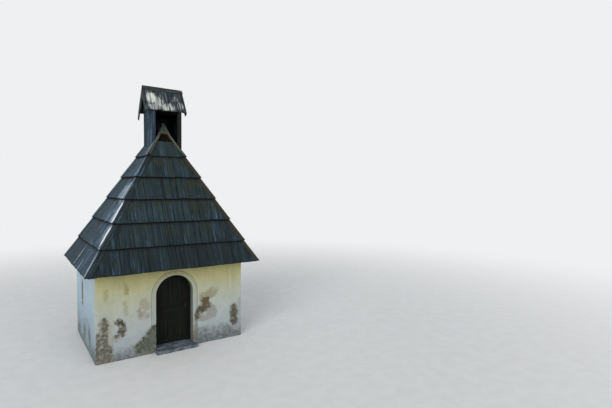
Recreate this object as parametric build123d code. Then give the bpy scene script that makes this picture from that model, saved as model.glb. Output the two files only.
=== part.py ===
from build123d import *
import math
import os

# A small plastered wayside chapel with a steep board roof and an open-fronted bell turret.
# Millimetres. X runs right along the front wall, Y runs back, Z up.
# The origin is the centre of the masonry footprint at ground level.

# masonry
wall_w = 3740
wall_d = 3000
wall_t = 420
wall_foot = 0
floor_z = 100
floor_t = 100

# doorway
door_w = 970
sill_z = 100
spring_z = 1435
arch_depth = 300
niche_w = 1130
niche_top = 2010
band_w = 110
band_t = 14
band_foot = 30
step_w = 1060
step_out = 240

# door
frame_face = 80
frame_depth = 90
frame_back = 200
leaf_gap = 5
leaf_core = 40
rail_t = 15
stile_w = 85
floor_gap = 10
mid_rail_low = 770
mid_rail_high = 960
mid_rail_h = 95
bottom_rail_h = 140
pin_r = 7
pin_play = 0.5
eye_r = 13
eye_h = 32
hinge_zs = (420, 1320)
hinge_in = 18
strap_len = 320
strap_h = 36
strap_t = 8

# side windows
win_w = 300
win_h = 670
win_z = 990
win_y = 470
win_frame = 35
win_depth = 50
win_set = 120
pane_t = 6

# main roof
over_front = 515
over_back = 265
over_side = 244
eave_z = 2150
eave_gap = 30
apex_x = 70
apex_z = 5860
ridge_len = 340
course_n = 6
course_rise = 570
butt_drop = 22
step_high = 52
step_low = 10
roof_skin = 34
strip_w = 200
strip_t = 14

# gablets in the front and back slopes
hole_below = 450
hole_high = 240
hole_band = 80
hole_rim = 55
hole_lift = 45
hole_edge = 4
trim_t = 26
trim_tail = 380
gablet_near = 20
gablet_deep = 900
infill_t = 30

# roof timbers
plate_w = 140
plate_h = 120
plate_in = 60
beam_w = 110
beam_h = 140
tie_pitch = 650
stub_pitch = 560
rafter_w = 90
rafter_depth = 130
hip_w = 110
king_w = 150
collar_z = 3950
collar_h = 120
collar_w = 80
ceiling_t = 25

# turret
turret_w = 820
turret_d = 800
turret_off = 45
turret_board = 25
post_w = 90
corner_w = 105
belfry_rise = 292
head_h = 100
eave_lift = 100
turret_rise = 687
turret_len = 1110
turret_over = 35
turret_skin = 30
frame_timber = 60
frame_high = 80
verge_h = 110
verge_t = 24
verge_tail = 80
cap_w = 110
cap_t = 24

yc = (over_back - over_front) / 2
half_x = wall_w / 2 + over_side
half_y = (wall_d + over_front + over_back) / 2
run_left = half_x + apex_x
run_right = half_x - apex_x
run_y = half_y - ridge_len / 2
rise = apex_z - eave_z
cos_side = half_x / math.hypot(half_x, rise)
wall_top = eave_z - eave_gap
in_x = wall_w / 2 - wall_t
in_y = wall_d / 2 - wall_t
front = -wall_d / 2
plate_top = wall_top + plate_h
beam_top = plate_top + beam_h
skin_drop = roof_skin / cos_side
rafter_drop = skin_drop + rafter_depth / cos_side
hole_sill = apex_z - hole_below
hole_top = hole_sill + hole_high
trim_low = hole_sill - trim_tail
post_top = apex_z + belfry_rise
turret_eave = post_top + eave_lift
turret_ridge = turret_eave + turret_rise
turret_low = eave_z + course_rise * (course_n - 1) + butt_drop
turret_x = apex_x + turret_off
far = wall_w + wall_d
sky = 2 * apex_z


def block(x0, x1, y0, y1, z0, z1):
    size = Box(abs(x1 - x0), abs(y1 - y0), abs(z1 - z0))
    return Pos((x0 + x1) / 2, (y0 + y1) / 2, (z0 + z1) / 2) * size


def along_x(points, x0, x1):
    loop = Polyline(*[(x0, y, z) for y, z in points], close=True)
    return extrude(make_face(loop), x1 - x0, dir=(1, 0, 0))


def along_y(points, y0, y1):
    loop = Polyline(*[(x, y0, z) for x, z in points], close=True)
    return extrude(make_face(loop), y1 - y0, dir=(0, 1, 0))


def upright(points, z0, z1):
    loop = Polyline(*[(x, y, z0) for x, y in points], close=True)
    return extrude(make_face(loop), z1 - z0, dir=(0, 0, 1))


def solids_of(shape):
    return [s for s in shape.solids() if s.volume > 500]


def save(name, *shapes):
    found = []
    for shape in shapes:
        found += solids_of(shape)
    export_step(Compound(found), "parts/" + name + ".step")


def arch(radius, y0, y1, z0, centre_z=spring_z):
    legs = block(-radius, radius, y0, y1, z0, centre_z)
    head = Pos(0, (y0 + y1) / 2, centre_z) * Rot(90, 0, 0) * Cylinder(radius, abs(y1 - y0))
    return legs + head


# walls
def front_walls():
    whole = block(-wall_w / 2, wall_w / 2, front, front + wall_t, wall_foot, wall_top)
    whole -= arch(door_w / 2, front - 10, front + arch_depth + 1, wall_foot - 10)
    y0 = front + arch_depth
    whole -= block(-niche_w / 2, niche_w / 2, y0, front + wall_t + 10, wall_foot - 10, niche_top)
    reach = door_w / 2
    left = whole & block(-wall_w, -reach, front, front + wall_t, wall_foot, wall_top)
    right = whole & block(reach, wall_w, front, front + wall_t, wall_foot, wall_top)
    over = whole & block(-reach, reach, front, front + wall_t, spring_z - 50, wall_top)
    return left, right, over


def side_wall(side):
    outer = side * wall_w / 2
    wall = block(outer, side * in_x, -in_y, in_y, wall_foot, wall_top)
    y0 = win_y - win_w / 2
    hole = block(outer + side, side * in_x - side, y0, y0 + win_w, win_z, win_z + win_h)
    return wall - hole


def window_frame(side):
    x0 = side * (wall_w / 2 - win_set)
    x1 = x0 - side * win_depth
    whole = block(x0, x1, win_y - win_w / 2, win_y + win_w / 2, win_z, win_z + win_h)
    y0 = win_y - win_w / 2 + win_frame
    y1 = win_y + win_w / 2 - win_frame
    hole = block(x0 + side, x1 - side, y0, y1, win_z + win_frame, win_z + win_h - win_frame)
    return whole - hole


def window_pane(side):
    xm = side * (wall_w / 2 - win_set - win_depth / 2)
    y0 = win_y - win_w / 2 + win_frame
    y1 = win_y + win_w / 2 - win_frame
    z0 = win_z + win_frame
    return block(xm - pane_t / 2, xm + pane_t / 2, y0, y1, z0, win_z + win_h - win_frame)


def door_band():
    outer = arch(door_w / 2 + band_w, front - band_t, front, band_foot)
    return outer - arch(door_w / 2, front - band_t - 5, front + 5, wall_foot - 5)


def door_step():
    inner = block(-door_w / 2, door_w / 2, front, front + wall_t, wall_foot, sill_z)
    outer = block(-step_w / 2, step_w / 2, front - step_out, front - band_t, wall_foot, sill_z - 12)
    middle = block(-door_w / 2, door_w / 2, front - band_t, front, wall_foot, sill_z - 12)
    return inner + outer + middle


# door
frame_y0 = front + frame_back
frame_y1 = frame_y0 + frame_depth
leaf_r = door_w / 2 - frame_face - leaf_gap
leaf_y1 = frame_y1 - 10
leaf_y0 = leaf_y1 - leaf_core
axis_x = -(door_w / 2 - frame_face)
axis_y = frame_y1 + hinge_in
leaf_foot = sill_z + floor_gap


def door_frame():
    whole = arch(door_w / 2, frame_y0, frame_y1, sill_z)
    return whole - arch(door_w / 2 - frame_face, frame_y0 - 5, frame_y1 + 5, sill_z - 5)


def door_leaf():
    return arch(leaf_r, leaf_y0, leaf_y1, leaf_foot)


def door_rails():
    y0 = leaf_y0 - rail_t
    whole = arch(leaf_r, y0, leaf_y0, leaf_foot)
    inner = arch(leaf_r - stile_w, y0 - 5, leaf_y0 + 5, leaf_foot + bottom_rail_h)
    r = leaf_r - stile_w / 2
    low = block(-r, r, y0, leaf_y0, mid_rail_low, mid_rail_low + mid_rail_h)
    high = block(-r, r, y0, leaf_y0, mid_rail_high, mid_rail_high + mid_rail_h)
    return whole - inner + low + high


def door_strap(z):
    x1 = axis_x + strap_len
    bar = block(axis_x + 8, x1, leaf_y1, leaf_y1 + strap_t, z - strap_h / 2, z + strap_h / 2)
    crank = block(axis_x + 8, axis_x + 16, leaf_y1, axis_y + 4, z - eye_h / 2, z + eye_h / 2)
    eye = Pos(axis_x, axis_y, z) * Cylinder(eye_r, eye_h)
    bore = Pos(axis_x, axis_y, z) * Cylinder(pin_r + pin_play, strap_h * 2)
    return bar + crank + eye - bore


def door_pintle(z):
    top = z - eye_h / 2 - 2
    base = block(axis_x - 42, axis_x + pin_r, frame_y1, axis_y + pin_r, top - 22, top)
    pin = Pos(axis_x, axis_y, (top + z + eye_h / 2 + 8) / 2) * Cylinder(pin_r, z + eye_h / 2 + 8 - top)
    return base + pin


def door_latch():
    y0 = leaf_y0 - rail_t
    xm = leaf_r - stile_w / 2
    plate = block(xm - 26, xm + 26, y0 - 5, y0, mid_rail_high - 20, mid_rail_high + 180)
    knob = Pos(xm, y0 - 22, mid_rail_high + 120) * Rot(90, 0, 0) * Cylinder(9, 36)
    grip = Pos(xm, y0 - 40, mid_rail_high + 120) * Rot(90, 0, 0) * Cylinder(22, 14)
    return plate + knob + grip


# main roof: every level is a rectangle that shrinks evenly towards the short ridge
def hip_block(drop, low=eave_z):
    top = apex_z - drop
    part = (top - low) / rise
    deep = run_y * part + ridge_len / 2
    corners = [(apex_x - run_left * part, low), (apex_x + run_right * part, low), (apex_x, top)]
    a = along_y(corners, -far, far)
    side = [(yc - deep, low), (yc + deep, low), (yc + ridge_len / 2, top), (yc - ridge_len / 2, top)]
    return a & along_x(side, -far, far)


def course_levels():
    return [eave_z + course_rise * i for i in range(course_n)]


def step_points(run, flat, extra):
    high = (step_high + extra) / cos_side
    low = (step_low + extra) / cos_side
    levels = course_levels() + [apex_z + low]
    points = []
    for i in range(course_n):
        z0 = levels[i]
        z1 = levels[i + 1] + (butt_drop if i < course_n - 1 else 0)
        points.append((flat + run * (apex_z + high - z0) / rise, z0))
        points.append((flat + run * (apex_z + low - z1) / rise, z1))
    return points


def stepped_roof(extra=0):
    left = [(apex_x - h, z) for h, z in step_points(run_left, 0, extra)]
    right = [(apex_x + h, z) for h, z in reversed(step_points(run_right, 0, extra))]
    a = along_y(left + right[1:], -far, far)
    side = step_points(run_y, ridge_len / 2, extra)
    near = [(yc - h, z) for h, z in side]
    back = [(yc + h, z) for h, z in reversed(side)]
    return a & along_x(near + back, -far, far)


def hip_run(side):
    return run_left if side < 0 else run_right


def sector(name):
    k = 1.6
    a = (apex_x, yc - ridge_len / 2)
    b = (apex_x, yc + ridge_len / 2)
    fl = (apex_x - run_left * k, a[1] - run_y * k)
    fr = (apex_x + run_right * k, a[1] - run_y * k)
    bl = (apex_x - run_left * k, b[1] + run_y * k)
    br = (apex_x + run_right * k, b[1] + run_y * k)
    plan = {"front": [a, fr, fl], "back": [b, bl, br], "left": [a, fl, bl, b], "right": [a, b, br, fr]}
    return upright(plan[name], 0, sky)


def hole_edge_x(side, z, inside):
    slope = hip_run(side) / rise
    return apex_x + side * (slope * (apex_z + hole_lift - z) - inside * math.hypot(1, slope))


def gablet_prism(inside, sill, top, y0, y1):
    soft = (hole_edge_x(1, top, inside) - apex_x) * 0.6
    right = [(hole_edge_x(1, z, inside), z) for z in (sill, top - soft * 1.5)]
    left = [(hole_edge_x(-1, z, inside), z) for z in (top - soft * 1.5, sill)]
    right.append((right[1][0] - soft * 0.35, top - soft * 0.45))
    right.append((right[1][0] - soft, top))
    left.insert(0, (left[0][0] + soft * 0.35, top - soft * 0.45))
    left.insert(0, (left[1][0] + soft, top))
    return along_y(right + left, y0, y1)


def gablet(y_side, outer):
    near = yc + y_side * (ridge_len / 2 + gablet_near)
    y0 = min(near, near + y_side * gablet_deep)
    y1 = y0 + gablet_deep
    part = sector("front" if y_side < 0 else "back")
    hole = gablet_prism(hole_band, hole_sill, hole_top, y0, y1)
    rim = gablet_prism(hole_edge, trim_low, hole_top + hole_rim, y0, y1)
    between = gablet_prism(hole_band, trim_low, hole_top, y0, y1)
    trim = ((rim - between) & (stepped_roof(trim_t) - outer)) & part
    deep = infill_t / cos_side
    infill = (hole & (hip_block(skin_drop - deep) - hip_block(skin_drop, eave_z - 100))) & part
    return hole & part, trim, infill


def hip_plates(width):
    plates = []
    for sx in (-1, 1):
        for sy in (-1, 1):
            y0 = yc + sy * ridge_len / 2
            angle = math.atan2(sy * run_y, sx * hip_run(sx))
            nx = -math.sin(angle) * width / 2
            ny = math.cos(angle) * width / 2
            ex = math.cos(angle) * far
            ey = math.sin(angle) * far
            inner = [(apex_x - nx, y0 - ny), (apex_x + nx, y0 + ny)]
            outer = [(apex_x + ex + nx, y0 + ey + ny), (apex_x + ex - nx, y0 + ey - ny)]
            plates.append(upright(inner + outer, 0, sky))
    return plates


# turret
tx0 = turret_x - turret_w / 2
tx1 = turret_x + turret_w / 2
ty0 = yc - turret_d / 2
ty1 = yc + turret_d / 2
t_half = turret_d / 2 + turret_over
t_slope = (turret_ridge - turret_eave) / t_half
t_skin = turret_skin * math.hypot(1, t_slope)
t_frame = frame_high * math.hypot(1, t_slope)
head_top = post_top + head_h
tl0 = turret_x - turret_len / 2
tl1 = turret_x + turret_len / 2


def turret_tent(drop, x0, x1, low):
    top = turret_ridge - drop
    reach = (top - low) / t_slope
    return along_x([(yc - reach, low), (yc + reach, low), (yc, top)], x0, x1)


def turret_posts():
    posts = None
    for x in (tx0 + turret_board, tx1 - turret_board - post_w):
        for y in (ty0 + turret_board, ty1 - turret_board - post_w):
            one = block(x, x + post_w, y, y + post_w, turret_low, post_top)
            posts = one if posts is None else posts + one
    return posts


def turret_heads():
    x0 = tx0 + turret_board
    x1 = tx1 - turret_board
    y0 = ty0 + turret_board
    y1 = ty1 - turret_board
    ring = block(x0, x1, y0, y1, post_top, head_top)
    return ring - block(x0 + post_w, x1 - post_w, y0 + post_w, y1 - post_w, post_top - 5, head_top + 5)


def turret_frames():
    low = head_top
    shell = turret_tent(t_skin, tl0, tl1, low) - turret_tent(t_skin + t_frame, tl0 - 5, tl1 + 5, low - 50)
    frames = []
    for x in (tx0 + turret_board, turret_x - frame_timber / 2, tx1 - turret_board - frame_timber):
        frames.append(shell & block(x, x + frame_timber, -far, far, low, sky))
    return frames


def turret_slab(side):
    low = turret_eave - t_skin
    slab = turret_tent(0, tl0, tl1, low) - turret_tent(t_skin, tl0 - 5, tl1 + 5, low - 40)
    return slab & block(tl0, tl1, yc, yc + side * t_half, low, sky)


def turret_wall(x0):
    tall = block(x0, x0 + turret_board, ty0 + turret_board, ty1, turret_low, head_top)
    return tall & turret_tent(t_skin, tl0, tl1, turret_low - 50)


def turret_gable(x0):
    tent = turret_tent(t_skin, x0, x0 + turret_board, head_top)
    return tent & block(x0, x0 + turret_board, ty0, ty1, head_top, sky)


def verge(x0):
    low = turret_eave - t_skin - verge_tail * t_slope - verge_h
    drop = verge_h * math.hypot(1, t_slope)
    outside = turret_tent(t_skin, x0, x0 + verge_t, low)
    shell = outside - turret_tent(t_skin + drop, x0 - 5, x0 + verge_t + 5, low - 50)
    reach = t_half + verge_tail
    return shell & block(x0, x0 + verge_t, yc - t_half, yc + reach, low, sky)


def ridge_cap():
    reach = cap_w / math.hypot(1, t_slope)
    low = turret_ridge - reach * t_slope
    raised = turret_ridge + cap_t * math.hypot(1, t_slope)
    edge = low + raised - turret_ridge
    left = [(yc - reach, low), (yc - reach, edge), (yc, raised)]
    right = [(yc + reach, edge), (yc + reach, low), (yc, turret_ridge)]
    return along_x(left + right, tl0, tl1)


def roof_timbers(inner, lower):
    shell = inner - lower
    king = block(apex_x - king_w / 2, apex_x + king_w / 2, yc - king_w / 2, yc + king_w / 2, beam_top, sky)
    above = block(-far, far, -far, far, beam_top, sky)
    hips = [(plate & shell & above) - king for plate in hip_plates(hip_w)]
    hip_room = hip_plates(hip_w)
    fronts = []
    backs = []
    for x in (apex_x - stub_pitch, apex_x, apex_x + stub_pitch):
        bar = block(x - rafter_w / 2, x + rafter_w / 2, -far, far, beam_top, sky) & shell
        fronts.append(cut_all(bar & sector("front"), hip_room) - king)
        backs.append(cut_all(bar & sector("back"), hip_room) - king)
    lefts = []
    rights = []
    for y in (yc - tie_pitch, yc, yc + tie_pitch):
        bar = block(-far, far, y - rafter_w / 2, y + rafter_w / 2, beam_top, sky) & shell
        lefts.append(cut_all(bar & sector("left"), hip_room) - king)
        rights.append(cut_all(bar & sector("right"), hip_room) - king)
    return hips, fronts, backs, lefts, rights, king & inner


def cut_all(shape, tools):
    for tool in tools:
        shape = shape - tool
    return shape


def biggest(shape):
    return sorted(solids_of(shape), key=lambda s: -s.volume)[0]


def ties(inner):
    zone = [plate_top, beam_top]
    bars = []
    for y in (yc - tie_pitch, yc, yc + tie_pitch):
        bars.append(block(-far, far, y - beam_w / 2, y + beam_w / 2, *zone) & inner)
    return bars


def stubs(inner):
    near = tie_pitch + beam_w / 2
    found = []
    for x in (-stub_pitch, 0, stub_pitch):
        for side in (-1, 1):
            y0 = yc + side * near
            bar = block(x - beam_w / 2, x + beam_w / 2, y0, y0 + side * far, plate_top, beam_top)
            found.append(bar & inner)
    for plate in hip_plates(beam_w):
        keep = plate & block(-far, far, yc - near, yc + near, plate_top, beam_top)
        found.append((plate & block(-far, far, -far, far, plate_top, beam_top) & inner) - keep)
    return found


def collars(lower, king):
    along = block(-far, far, yc - collar_w / 2, yc + collar_w / 2, collar_z, collar_z + collar_h)
    across = block(apex_x - collar_w / 2, apex_x + collar_w / 2, -far, far, collar_z, collar_z + collar_h)
    return [(along & lower) - king, (across & lower) - king]


def build():
    left, right, over = front_walls()
    save("front_wall_left", left)
    save("front_wall_right", right)
    save("front_wall_over_door", over)
    save("left_wall", side_wall(-1))
    save("right_wall", side_wall(1))
    save("back_wall", block(-wall_w / 2, wall_w / 2, in_y, wall_d / 2, wall_foot, wall_top))
    save("floor_slab", block(-in_x, in_x, -in_y, in_y, floor_z - floor_t, floor_z))
    save("door_step", door_step())
    save("door_band", door_band())
    save("door_frame", door_frame())
    save("door_leaf", door_leaf())
    save("door_rails", door_rails())
    save("door_straps", *[door_strap(z) for z in hinge_zs])
    save("door_pintles", *[door_pintle(z) for z in hinge_zs])
    save("door_latch", door_latch())
    save("window_frame_left", window_frame(-1))
    save("window_frame_right", window_frame(1))
    save("window_pane_left", window_pane(-1))
    save("window_pane_right", window_pane(1))
    build_timbers()
    seat = build_roof()
    build_turret(seat)


def build_timbers():
    inner = hip_block(skin_drop, eave_z - 250)
    lower = hip_block(rafter_drop, eave_z - 250)
    outer_x = wall_w / 2 - plate_in
    outer_y = wall_d / 2 - plate_in
    ring = block(-outer_x, outer_x, -outer_y, outer_y, wall_top, plate_top)
    gap_x = outer_x - plate_w
    gap_y = outer_y - plate_w
    save("wall_plates", ring - block(-gap_x, gap_x, -gap_y, gap_y, wall_top - 5, plate_top + 5))
    save("tie_beams", *ties(inner))
    save("stub_beams", *stubs(inner))
    save("ceiling_boards", block(-gap_x, gap_x, -gap_y, gap_y, plate_top - ceiling_t, plate_top))
    hips, fronts, backs, lefts, rights, king = roof_timbers(inner, lower)
    save("hip_rafters", *hips)
    save("rafters_front", *fronts)
    save("rafters_back", *backs)
    save("rafters_left", *lefts)
    save("rafters_right", *rights)
    save("king_post", king)
    save("collar_beams", *collars(lower, king))


def build_roof():
    outer = stepped_roof()
    shell = outer - hip_block(skin_drop, eave_z - 250)
    front_hole, front_trim, front_infill = gablet(-1, outer)
    back_hole, back_trim, back_infill = gablet(1, outer)
    save("roof_front", (shell & sector("front")) - front_hole)
    save("roof_back", (shell & sector("back")) - back_hole)
    save("roof_left", shell & sector("left"))
    save("roof_right", shell & sector("right"))
    save("gablet_trim_front", front_trim)
    save("gablet_trim_back", back_trim)
    save("gablet_boards_front", front_infill)
    save("gablet_boards_back", back_infill)
    raised = stepped_roof(strip_t) - outer
    below = block(-far, far, -far, far, eave_z - 100, trim_low)
    strips = [plate & raised & below for plate in hip_plates(strip_w)]
    save("hip_strips", *strips)
    seat = outer + front_trim + back_trim
    for strip in strips:
        seat += strip
    return seat


def build_turret(seat):
    below = turret_tent(t_skin, tl0, tl1, turret_low - 50)
    save("turret_posts", turret_posts() - seat)
    save("turret_heads", turret_heads())
    save("turret_frames", *turret_frames())
    save("turret_side_left", turret_wall(tx0) - seat)
    save("turret_side_right", turret_wall(tx1 - turret_board) - seat)
    rear = block(tx0 + turret_board, tx1 - turret_board, ty1 - turret_board, ty1, turret_low, head_top)
    save("turret_side_back", (rear & below) - seat)
    corners = []
    for x in (tx0, tx1 - corner_w):
        board = block(x, x + corner_w, ty0, ty0 + turret_board, turret_low, head_top)
        corners.append(biggest((board & below) - seat))
    save("turret_corner_boards", *corners)
    save("turret_gable_left", turret_gable(tx0))
    save("turret_gable_right", turret_gable(tx1 - turret_board))
    save("turret_roof_front", turret_slab(-1))
    save("turret_roof_back", turret_slab(1))
    save("turret_verges", verge(tl0), verge(tl1 - verge_t))
    save("turret_ridge_cap", ridge_cap())


build()
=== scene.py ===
import math

import bmesh
import bpy
import numpy as np
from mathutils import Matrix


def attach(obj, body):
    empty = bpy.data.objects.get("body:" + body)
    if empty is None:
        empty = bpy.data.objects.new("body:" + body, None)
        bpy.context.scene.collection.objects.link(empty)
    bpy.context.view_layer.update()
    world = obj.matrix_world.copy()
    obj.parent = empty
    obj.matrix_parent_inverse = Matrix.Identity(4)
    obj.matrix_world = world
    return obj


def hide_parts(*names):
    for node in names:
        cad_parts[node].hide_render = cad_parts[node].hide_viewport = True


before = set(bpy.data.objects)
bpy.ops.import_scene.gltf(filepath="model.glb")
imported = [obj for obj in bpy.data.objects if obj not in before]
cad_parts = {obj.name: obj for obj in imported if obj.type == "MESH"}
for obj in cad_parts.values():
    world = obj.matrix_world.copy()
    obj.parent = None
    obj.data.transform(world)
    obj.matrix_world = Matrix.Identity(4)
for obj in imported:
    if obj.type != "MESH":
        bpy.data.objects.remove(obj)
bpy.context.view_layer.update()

# Sizes in metres, the same as the part's source: half the walls and their top, the doorway and its band,
# the leaf with its rails, and the side windows.
WALL_X, WALL_Y, WALL_TOP = 1.87, 1.50, 2.12
DOOR_HALF, SPRING, BAND = 0.485, 1.435, 0.11
LEAF_HALF, LEAF_FOOT, STILE = 0.400, 0.11, 0.085
RAILS = ((0.110, 0.250), (0.770, 0.865), (0.960, 1.055))
WINDOW_Y, WINDOW_Z = (0.32, 0.62), (0.99, 1.66)
# The main roof: its levels and middle, how far its slopes run out, and the courses of boards on it.
EAVE, APEX, RIDGE, MID_Y, APEX_X = 2.15, 5.86, 0.34, -0.125, 0.07
RUN_LEFT, RUN_RIGHT, RUN_Y = 2.184, 2.044, 1.72
RUNS = {"left": RUN_LEFT, "right": RUN_RIGHT, "front": RUN_Y, "back": RUN_Y}
RISE = APEX - EAVE
COURSES, COURSE_RISE = 6, 0.57
UNDER = -0.068
# The gablets, the turret, how deep it is sunk into the main roof, the small saddle roof on it, and the
# planes of the door's parts.
SILL, HOLE_TOP, RIM_TOP, TRIM_LOW = 5.41, 5.65, 5.705, 5.03
HOLE_LIFT, BAND_WIDE = 0.045, 0.056
TURRET_X0, TURRET_X1, TURRET_Y0, TURRET_Y1 = -0.295, 0.525, -0.525, 0.275
PLANK, CORNER_WIDE, TENT_SKIN, SUNK = 0.025, 0.105, 0.030, 0.03
TENT_X0, TENT_X1, TENT_HALF = -0.44, 0.67, 0.435
TENT_RIDGE, TENT_EAVE, HEAD_TOP = 6.939, 6.252, 6.252
TENT_SLOPE = (TENT_RIDGE - TENT_EAVE) / TENT_HALF
TENT_LEAN = math.hypot(1, TENT_SLOPE)
DOOR_FACE, LEDGE_FACE, CASE_FACE = -1.221, -1.255, -1.211

FRONTAL = ("front", "back")


# ---------------------------------------------------------------- meshes

def linked(name, data):
    """An object of the scene with this mesh, lamp or camera."""
    made = bpy.data.objects.new(name, data)
    bpy.context.scene.collection.objects.link(made)
    return made


def xyz(*parts):
    """Points from their coordinates, each a number or an array."""
    return np.stack(np.broadcast_arrays(*parts), -1)


def finish_mesh(name, points, faces, across=None, along=None, tone=None, closed=True, angle=0.6):
    """Points and faces become one object with its place in its mesh. A UV map holds metres across
    and along the grain, and the point attribute tone tells one board from the next."""
    mesh = bpy.data.meshes.new(name)
    mesh.from_pydata(points.reshape(-1, 3).tolist(), [], faces)
    if across is not None:
        corner = np.zeros(len(mesh.loops), np.int32)
        mesh.loops.foreach_get("vertex_index", corner)
        flat = xyz(across.ravel(), along.ravel())[corner]
        mesh.uv_layers.new(name="grain").data.foreach_set("uv", flat.ravel())
        kept = mesh.attributes.new("tone", "FLOAT", "POINT")
        kept.data.foreach_set("value", tone.ravel().astype(np.float32))
    shell = bmesh.new()
    shell.from_mesh(mesh)
    if across is None:
        bmesh.ops.remove_doubles(shell, verts=shell.verts, dist=1e-5)
    if closed:
        bmesh.ops.recalc_face_normals(shell, faces=shell.faces)
    shell.to_mesh(mesh)
    shell.free()
    mesh.shade_smooth()
    mesh.set_sharp_from_angle(angle=angle)
    return linked(name, mesh)


def ring_faces(count, rows, sides):
    """Quads between neighbouring rings of sides points, and a flat face on each end, for count lofts."""
    k, r, j = np.meshgrid(np.arange(count), np.arange(rows - 1), np.arange(sides), indexing="ij")
    base, turn = (k * rows + r) * sides, (j + 1) % sides
    quads = np.stack([base + j, base + turn, base + sides + turn, base + sides + j], -1)
    first = np.arange(count)[:, None] * rows * sides + np.arange(sides)[None]
    return quads.reshape(-1, 4).tolist() + first[:, ::-1].tolist() + (first + (rows - 1) * sides).tolist()


def grid_faces(rows, columns, first=0, keep=True):
    """Quads between the points of a grid that is counted row by row."""
    i, j = np.meshgrid(np.arange(rows - 1), np.arange(columns - 1), indexing="ij")
    a = first + (i * columns + j)[np.broadcast_to(keep, i.shape)]
    return np.stack([a, a + 1, a + columns + 1, a + columns], -1).tolist()


def uneven(points, wave, seed, waves=20):
    """Gentle unevenness of about -1 to 1: the sum of waves in random directions, each about so long."""
    rng = np.random.default_rng(seed)
    way = rng.normal(0, 1, (waves, 3))
    way *= (2 * math.pi / wave * rng.uniform(0.6, 1.6, waves) / np.linalg.norm(way, axis=1))[:, None]
    return np.sin(points @ way.T + rng.uniform(0, 2 * math.pi, waves)).sum(-1) / math.sqrt(waves * 2)


def way_along(line):
    """The distance of each point of a line from its start, measured along the line."""
    return np.concatenate([[0], np.cumsum(np.linalg.norm(np.diff(line, axis=0), axis=1))])


def edges_between(cuts, gap, rows):
    """The left and right edges of straight boards between cuts."""
    return np.repeat(cuts[:-1, None] + gap, rows, 1), np.repeat(cuts[1:, None] - gap, rows, 1)


# The nine corners of a board's section: share of the width, which of them the ease sets in, and share of
# the thickness. Then the depth of the hollow, the ease of the edges, how uneven the corners of a ragged
# end are, and how rough a bent board is.
ACROSS = np.array([0, 1, 1, 1, 0.75, 0.5, 0.25, 0, 0])
INSET = np.array([0, 0, 0, -1, 0, 0, 0, 1, 0])
UP = np.array([0, 0, 0.8, 1, 1, 1, 1, 1, 0.8])
CUP, EASE, TORN, BENT_ROUGH = 0.0015, 0.003, 0.45, 0.0008
# The same for the eight corners of a bent board.
BENT_ACROSS = np.array([0, 0, 0, 0.5, 1, 1, 1, 0.5])
BENT_INSET = np.array([0, 0, 1, 0, -1, 0, 0, 0])
BENT_UP, BENT_TOP = np.array([0, 1, 1, 1, 1, 1, 0, 0]), np.array([0, 0, 1, 1, 1, 0, 0, 0])


def lay_boards(name, place, left, right, low, high, under, over, seed, ragged=0.006, wander=0.0015):
    """Many boards in one mesh. Each is a nine-sided section with eased upper edges carried from its
    low end to its high end. Across = left edge + share of the width, with a small wandering;
    along = low + share of the length, with uneven ends; height = between under and over, and the
    upper face hollows by the cup towards the middle. place turns across, along, height into x, y, z."""
    rng = np.random.default_rng(seed)
    n, rows = left.shape
    share = np.linspace(0, 1, rows)[None, :, None]
    left, width = left[:, :, None], (right - left)[:, :, None]
    drift = np.cumsum(rng.normal(0, wander, (n, rows, 1)), 1)
    across = left + ACROSS * width + INSET * np.minimum(EASE, width * 0.2)
    across = across + drift * np.minimum(1, width / 0.08)
    low, high = (end(across[:, k]) if callable(end) else np.broadcast_to(end, (9, n)).T
                 for end, k in ((low, 0), (high, -1)))
    along = low[:, None] + share * (high - low)[:, None]
    jag = rng.normal(0, 1, (n, 1, 9)) * ragged * TORN + rng.normal(0, 1, (n, 1, 1)) * ragged
    jag[:, :, 8] = jag[:, :, 7] = jag[:, :, 0]
    jag[:, :, 1] = jag[:, :, 2] = jag[:, :, 3]
    along = along + np.abs(jag) * np.sign(ragged) * (share == 0)
    under, over = (np.broadcast_to(level, (n, rows))[:, :, None] for level in (under, over))
    bend = rng.normal(0, CUP, (n, 1, 1)) * (4 * (ACROSS - 0.5) ** 2 - 1) * (UP == 1)
    height = under + UP * (over - under) + bend + rng.normal(0, CUP * 0.4, (n, rows, 9)) * (UP == 1)
    points = place(across, along, height)
    sideways = across - left + rng.uniform(0, 40, (n, 1, 1))
    tone = np.broadcast_to(rng.uniform(0, 1, (n, 1, 1)), across.shape)
    return finish_mesh(name, points, ring_faces(n, rows, 9), sideways, np.abs(along - low[:, None]), tone)


def bent_board(name, place, outer, inner, under, over, seed, ease=0.004):
    """One board bent along a line, such as an arch. Its section has eight sides with eased upper
    edges: place in the plane = outer edge + share * (inner edge - outer edge), height = between
    under and over. Along is the length of the middle line up to each ring."""
    rng = np.random.default_rng(seed)
    rows = len(outer)
    wide = np.linalg.norm(inner - outer, axis=1)[:, None]
    share = BENT_ACROSS + BENT_INSET * np.minimum(ease / wide, 0.3)
    flat = outer[:, None] + share[:, :, None] * (inner - outer)[:, None]
    under, over = (np.broadcast_to(level, rows)[:, None] for level in (under, over))
    height = under * (1 - BENT_UP) + over * BENT_UP - ease * BENT_UP * (1 - BENT_TOP)
    height = height + rng.normal(0, BENT_ROUGH, height.shape) * BENT_UP
    points = place(flat[..., 0], flat[..., 1], height)
    along = np.broadcast_to(way_along((outer + inner) / 2)[:, None], share.shape)
    tone = np.full(share.shape, rng.uniform(0, 1))
    return finish_mesh(name, points, ring_faces(1, rows, 8), share * wide + seed * 0.37, along, tone)


# ---------------------------------------------------------------- the main roof

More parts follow.
